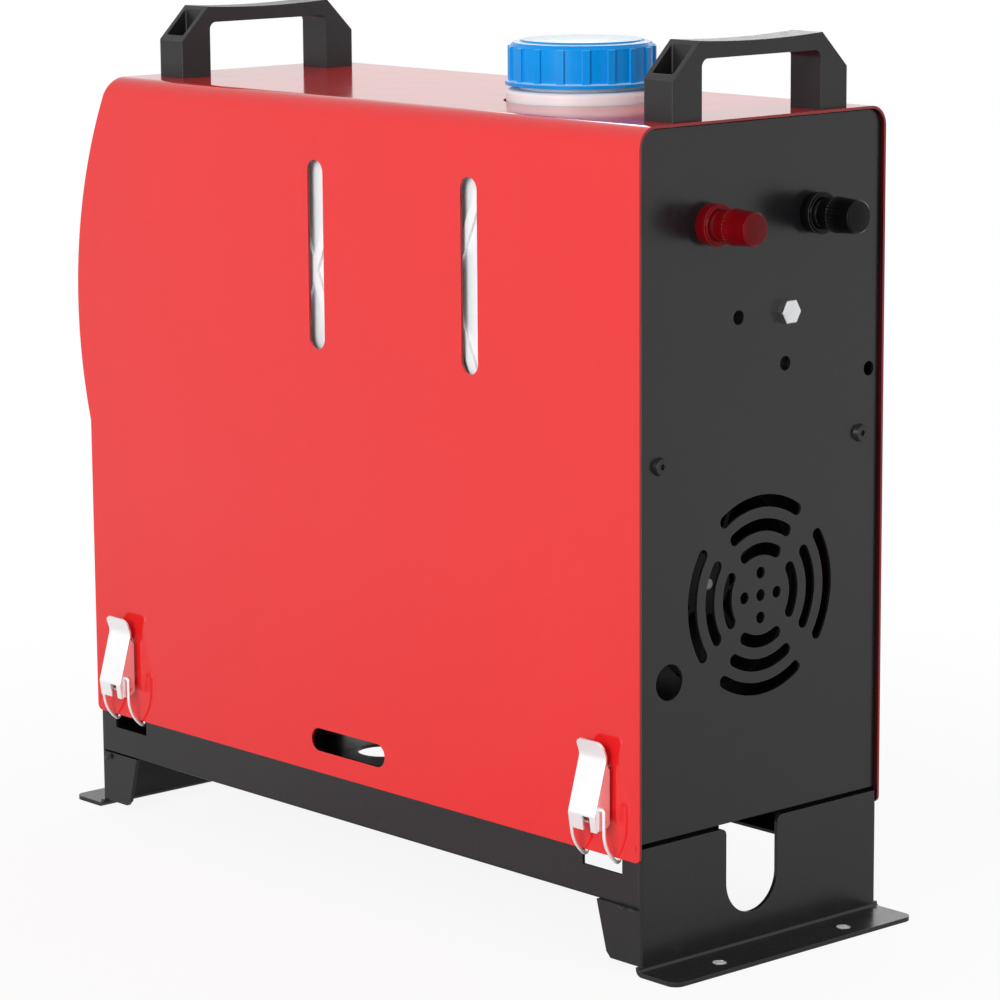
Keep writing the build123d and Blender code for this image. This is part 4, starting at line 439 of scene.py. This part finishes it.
def key_mark(use, body):
    """The mark on one key: an arrow, a ring or a power sign."""
    place = on_front(f"button_{use}")
    form = bmesh.new()
    size = 2.3 * millimetre
    ring, line = 0.8 * size, 0.3 * size
    if use in ("up", "down"):
        tip = size if use == "up" else -size
        foot = -0.6 * tip
        add_slab(form, [(-size, foot), (size, foot), (0, tip)], place, INK)
    elif use == "set":
        dot, dot_line = 0.25 * size, 0.2 * size
        add_band(form, (0, 0), ring, line, place, INK)
        add_band(form, (0, 0), dot, dot_line, place, INK)
    else:
        add_band(form, (0, 0), ring, line, place, INK, start=120, sweep=300)
        add_slab(form, bar((0, 0.65 * size), size, line, True), place, INK)
    finish_piece(f"key_mark_{use}", form, "pale_ink", body)


def foot_hole_rims():
    """Bare steel in the walls of the four bolt holes in the feet."""
    radius, wall, sheet = 3.25 * millimetre, 0.12 * millimetre, 2 * millimetre
    hole_x, hole_y = 207.5 * millimetre, 39 * millimetre
    for name, end in (("front", -1), ("rear", 1)):
        form = bmesh.new()
        for side in (-1, 1):
            middle = (end * hole_x, side * hole_y)
            add_band(form, middle, radius - wall / 2, wall, lambda *point: Vector(point), sheet + INK)
        finish_piece(f"foot_hole_rims_{name}", form, "zinc_steel", "base")


def seam_shadow_strip():
    """Black strips in the gap between each end panel and the top of its leg: painted shadow."""
    notch_reach, overlap, thickness = 19 * millimetre, millimetre, 0.25 * millimetre
    tray_low, tray_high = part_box("base_tray")
    for name, end, face in (("rear", 1, tray_high[0]), ("front", -1, tray_low[0])):
        leg_low, leg_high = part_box(f"{name}_leg")
        panel_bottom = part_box(f"{name}_panel")[0][2]
        form = bmesh.new()
        for start, stop in (
            (leg_low[1], NOTCH_MIDDLE - notch_reach), (NOTCH_MIDDLE + notch_reach, leg_high[1])
        ):
            bottom = leg_high[2] - overlap
            outline = [(start, bottom), (stop, bottom), (stop, panel_bottom), (start, panel_bottom)]
            add_slab(form, outline, lambda y, z, out: Vector((face + end * out, y, z)), thickness)
        finish_piece(f"seam_shadow_strip_{name}", form, "seam_shadow_black", "base")


def notched_tray():
    """The tray again, with the corners cut away that the legs' notches would otherwise show."""
    source = nodes["base_tray"]
    form = bmesh.new()
    form.from_mesh(source.data)
    form.transform(source.matrix_world)
    bmesh.ops.remove_doubles(form, verts=form.verts, dist=WELD_DISTANCE)
    tray = mesh_object("base_tray_notched", form)
    tray.data.materials.append(finishes["charcoal_paint"])
    low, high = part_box("base_tray")
    depth, margin = 21 * millimetre, millimetre
    near_y, far_y = NOTCH_MIDDLE - 30 * millimetre, NOTCH_MIDDLE + 44 * millimetre
    blocks = bmesh.new()
    for end in (-1, 1):
        left, right = sorted((end * (high[0] + margin), end * (high[0] - depth)))
        outline = [(left, near_y), (right, near_y), (right, far_y), (left, far_y)]
        add_slab(
            blocks, outline, lambda x, y, out: Vector((x, y, low[2] - margin + out)),
            high[2] - low[2] + 2 * margin,
        )
    bmesh.ops.recalc_face_normals(blocks, faces=blocks.faces)
    cutter = mesh_object("tray_cutter", blocks)
    cut = tray.modifiers.new("cut", "BOOLEAN")
    cut.operation = "DIFFERENCE"
    cut.object = cutter
    bpy.context.view_layer.update()
    shape = bpy.data.meshes.new_from_object(tray.evaluated_get(bpy.context.evaluated_depsgraph_get()))
    tray.modifiers.clear()
    tray.data = shape
    bpy.data.objects.remove(cutter)
    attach(tray, "base")
    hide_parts("base_tray")


def leg_marks():
    """Tack welds where the rear leg's gussets meet the tray, and small rivets in the front leg's."""
    bead_radii = (0.7, 0.5, 0.8, 0.55, 0.65)        # in millimetres, as the next two are
    weld_starts, bead_pitch = (181.5, 188.5), 0.75
    bead_drop, bead_rise = 0.5 * millimetre, 0.6
    low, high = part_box("rear_leg")
    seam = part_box("base_tray")[0][2]
    welds = bmesh.new()
    for face in (low[1], high[1]):
        for start in weld_starts:
            for step, radius in enumerate(bead_radii):
                middle = ((start + bead_pitch * step) * millimetre, seam - bead_drop)
                reach = radius * millimetre
                add_dome(welds, middle, reach, bead_rise * reach, on_side(face))
    finish_piece("tack_welds", welds, "black_screw", "base")
    rivet_middle = (-188.8 * millimetre, seam - 2.6 * millimetre)
    head_and_stem = ((1.6 * millimetre, 0.6 * millimetre), (0.7 * millimetre, 0.8 * millimetre))
    rivets = bmesh.new()
    for face in (low[1], high[1]):
        for radius, height in head_and_stem:
            add_dome(rivets, rivet_middle, radius, height, on_side(face))
    finish_piece("leg_rivets", rivets, "black_screw", "base")


notched_tray()
leg_marks()
display_marks()
for use in ("up", "set", "down", "power"):
    key_mark(use, f"{use}_key")
foot_hole_rims()
seam_shadow_strip()


# ---------------------------------------------------------------- stage, light and camera
def join_values(tree, operation, first, second):
    """Work out one math operation on two value sockets. Returns the result's socket."""
    result = tree.nodes.new("ShaderNodeMath")
    result.operation = operation
    wire(tree, first, result.inputs[0])
    wire(tree, second, result.inputs[1])
    return result.outputs[0]


def ray_kinds(tree):
    """Two sockets: 1 for what the camera sees, also through glass, and 1 for what gloss mirrors."""
    path = tree.nodes.new("ShaderNodeLightPath")
    through = path.outputs["Is Transmission Ray"]
    seen = join_values(tree, "MAXIMUM", path.outputs["Is Camera Ray"], through)
    return seen, path.outputs["Is Glossy Ray"]


WHITE = (1, 1, 1, 1)
FLOOR_SIZE = 30
FLOOR_ROUGHNESS = 0.9
FLOOR_GRAIN = 60                    # cycles per metre of the cloudy tone
FLOOR_TONES = (0.90, 0.90, 0.90), (0.93, 0.93, 0.93)
SEEN_SHARES, SEEN_DISTANCES = (0.90, 1.0), (0.22, 0.60)         # of plain white, near and far
MIRRORED_SHARES, MIRRORED_DISTANCES = (0.3, 1.0), (0.3, 1.0)


def stage_floor():
    """Pale floor that keeps the object's soft shadow and reads white elsewhere."""
    bpy.ops.mesh.primitive_plane_add(size=FLOOR_SIZE)
    floor = bpy.context.object
    floor.name = "floor"
    material = bpy.data.materials.new("floor_white")
    material.use_nodes = True
    tree = material.node_tree
    shader = tree.nodes["Principled BSDF"]
    shader.inputs["Roughness"].default_value = FLOOR_ROUGHNESS
    cloud = noise(tree, FLOOR_GRAIN, 2)
    wire(tree, blend_colours(tree, spread(tree, cloud, 0, 1), *FLOOR_TONES), shader.inputs["Base Color"])
    glow = tree.nodes.new("ShaderNodeEmission")
    glow.inputs["Color"].default_value = WHITE
    seen, mirrored = ray_kinds(tree)
    place = tree.nodes.new("ShaderNodeTexCoord")
    distance = tree.nodes.new("ShaderNodeVectorMath")
    distance.operation = "LENGTH"
    wire(tree, place.outputs["Object"], distance.inputs[0])
    away = distance.outputs["Value"]
    seen_share = spread(tree, away, *SEEN_SHARES, *SEEN_DISTANCES)
    mirrored_share = spread(tree, away, *MIRRORED_SHARES, *MIRRORED_DISTANCES)
    seen = join_values(tree, "MULTIPLY", seen, seen_share)
    mirrored = join_values(tree, "MULTIPLY", mirrored, mirrored_share)
    mix = tree.nodes.new("ShaderNodeMixShader")
    wire(tree, join_values(tree, "MAXIMUM", seen, mirrored), mix.inputs[0])
    wire(tree, shader.outputs[0], mix.inputs[1])
    wire(tree, glow.outputs[0], mix.inputs[2])
    wire(tree, mix.outputs[0], tree.nodes["Material Output"].inputs["Surface"])
    floor.data.materials.append(material)


def white_world(fill):
    """World that is white to the camera and in reflections, and a soft fill light otherwise."""
    world = bpy.data.worlds.new("studio")
    bpy.context.scene.world = world
    world.use_nodes = True
    tree = world.node_tree
    background = tree.nodes["Background"]
    background.inputs["Color"].default_value = WHITE
    white = join_values(tree, "MAXIMUM", *ray_kinds(tree))
    wire(tree, spread(tree, white, fill, 1.0, 0, 1), background.inputs["Strength"])


def softbox(name, at, target, width, height, power):
    """Large rectangular lamp at a place, aimed at a target."""
    lamp = bpy.data.lights.new(name, "AREA")
    lamp.shape = "RECTANGLE"
    lamp.size, lamp.size_y = width, height
    lamp.energy = power
    holder = bpy.data.objects.new(name, lamp)
    bpy.context.collection.objects.link(holder)
    holder.location = at
    holder.rotation_euler = (Vector(target) - Vector(at)).to_track_quat("-Z", "Y").to_euler()


def photo_camera():
    """Camera fitted to the photograph's straight edges and corners."""
    azimuth, elevation, roll = math.radians(48.19), math.radians(10.66), math.radians(-0.40)
    focal_pixels, image_pixels, sensor = 4004.8, 1000, 36.0
    location = (1.3903, -1.2229, 0.5214)
    back = Vector((
        math.sin(azimuth) * math.cos(elevation), -math.cos(azimuth) * math.cos(elevation),
        math.sin(elevation),
    ))
    level = Vector((math.cos(azimuth), math.sin(azimuth), 0))
    rise = back.cross(level)
    right = level * math.cos(roll) + rise * math.sin(roll)
    up = rise * math.cos(roll) - level * math.sin(roll)
    camera = bpy.data.cameras.new("camera")
    camera.sensor_width = sensor
    camera.lens = focal_pixels / image_pixels * sensor
    holder = bpy.data.objects.new("camera", camera)
    bpy.context.collection.objects.link(holder)
    turn = Matrix((right, up, back)).transposed().to_4x4()
    holder.matrix_world = Matrix.Translation(location) @ turn
    bpy.context.scene.camera = holder


LAMPS = (           # name, place, width and height in metres, power in watts
    ("key", (0.7, -2.6, 1.0), 1.5, 1.5, 44),
    ("side", (2.6, 0.5, 1.2), 1.4, 1.6, 4),
    ("back", (-1.6, 2.2, 1.8), 1.6, 1.2, 24),
)
LAMP_TARGET = (0, 0, 0.2)

stage_floor()
white_world(fill=0.42)
for name, at, width, height, power in LAMPS:
    softbox(name, at, LAMP_TARGET, width, height, power)
photo_camera()
bpy.context.scene.view_settings.view_transform = "Standard"
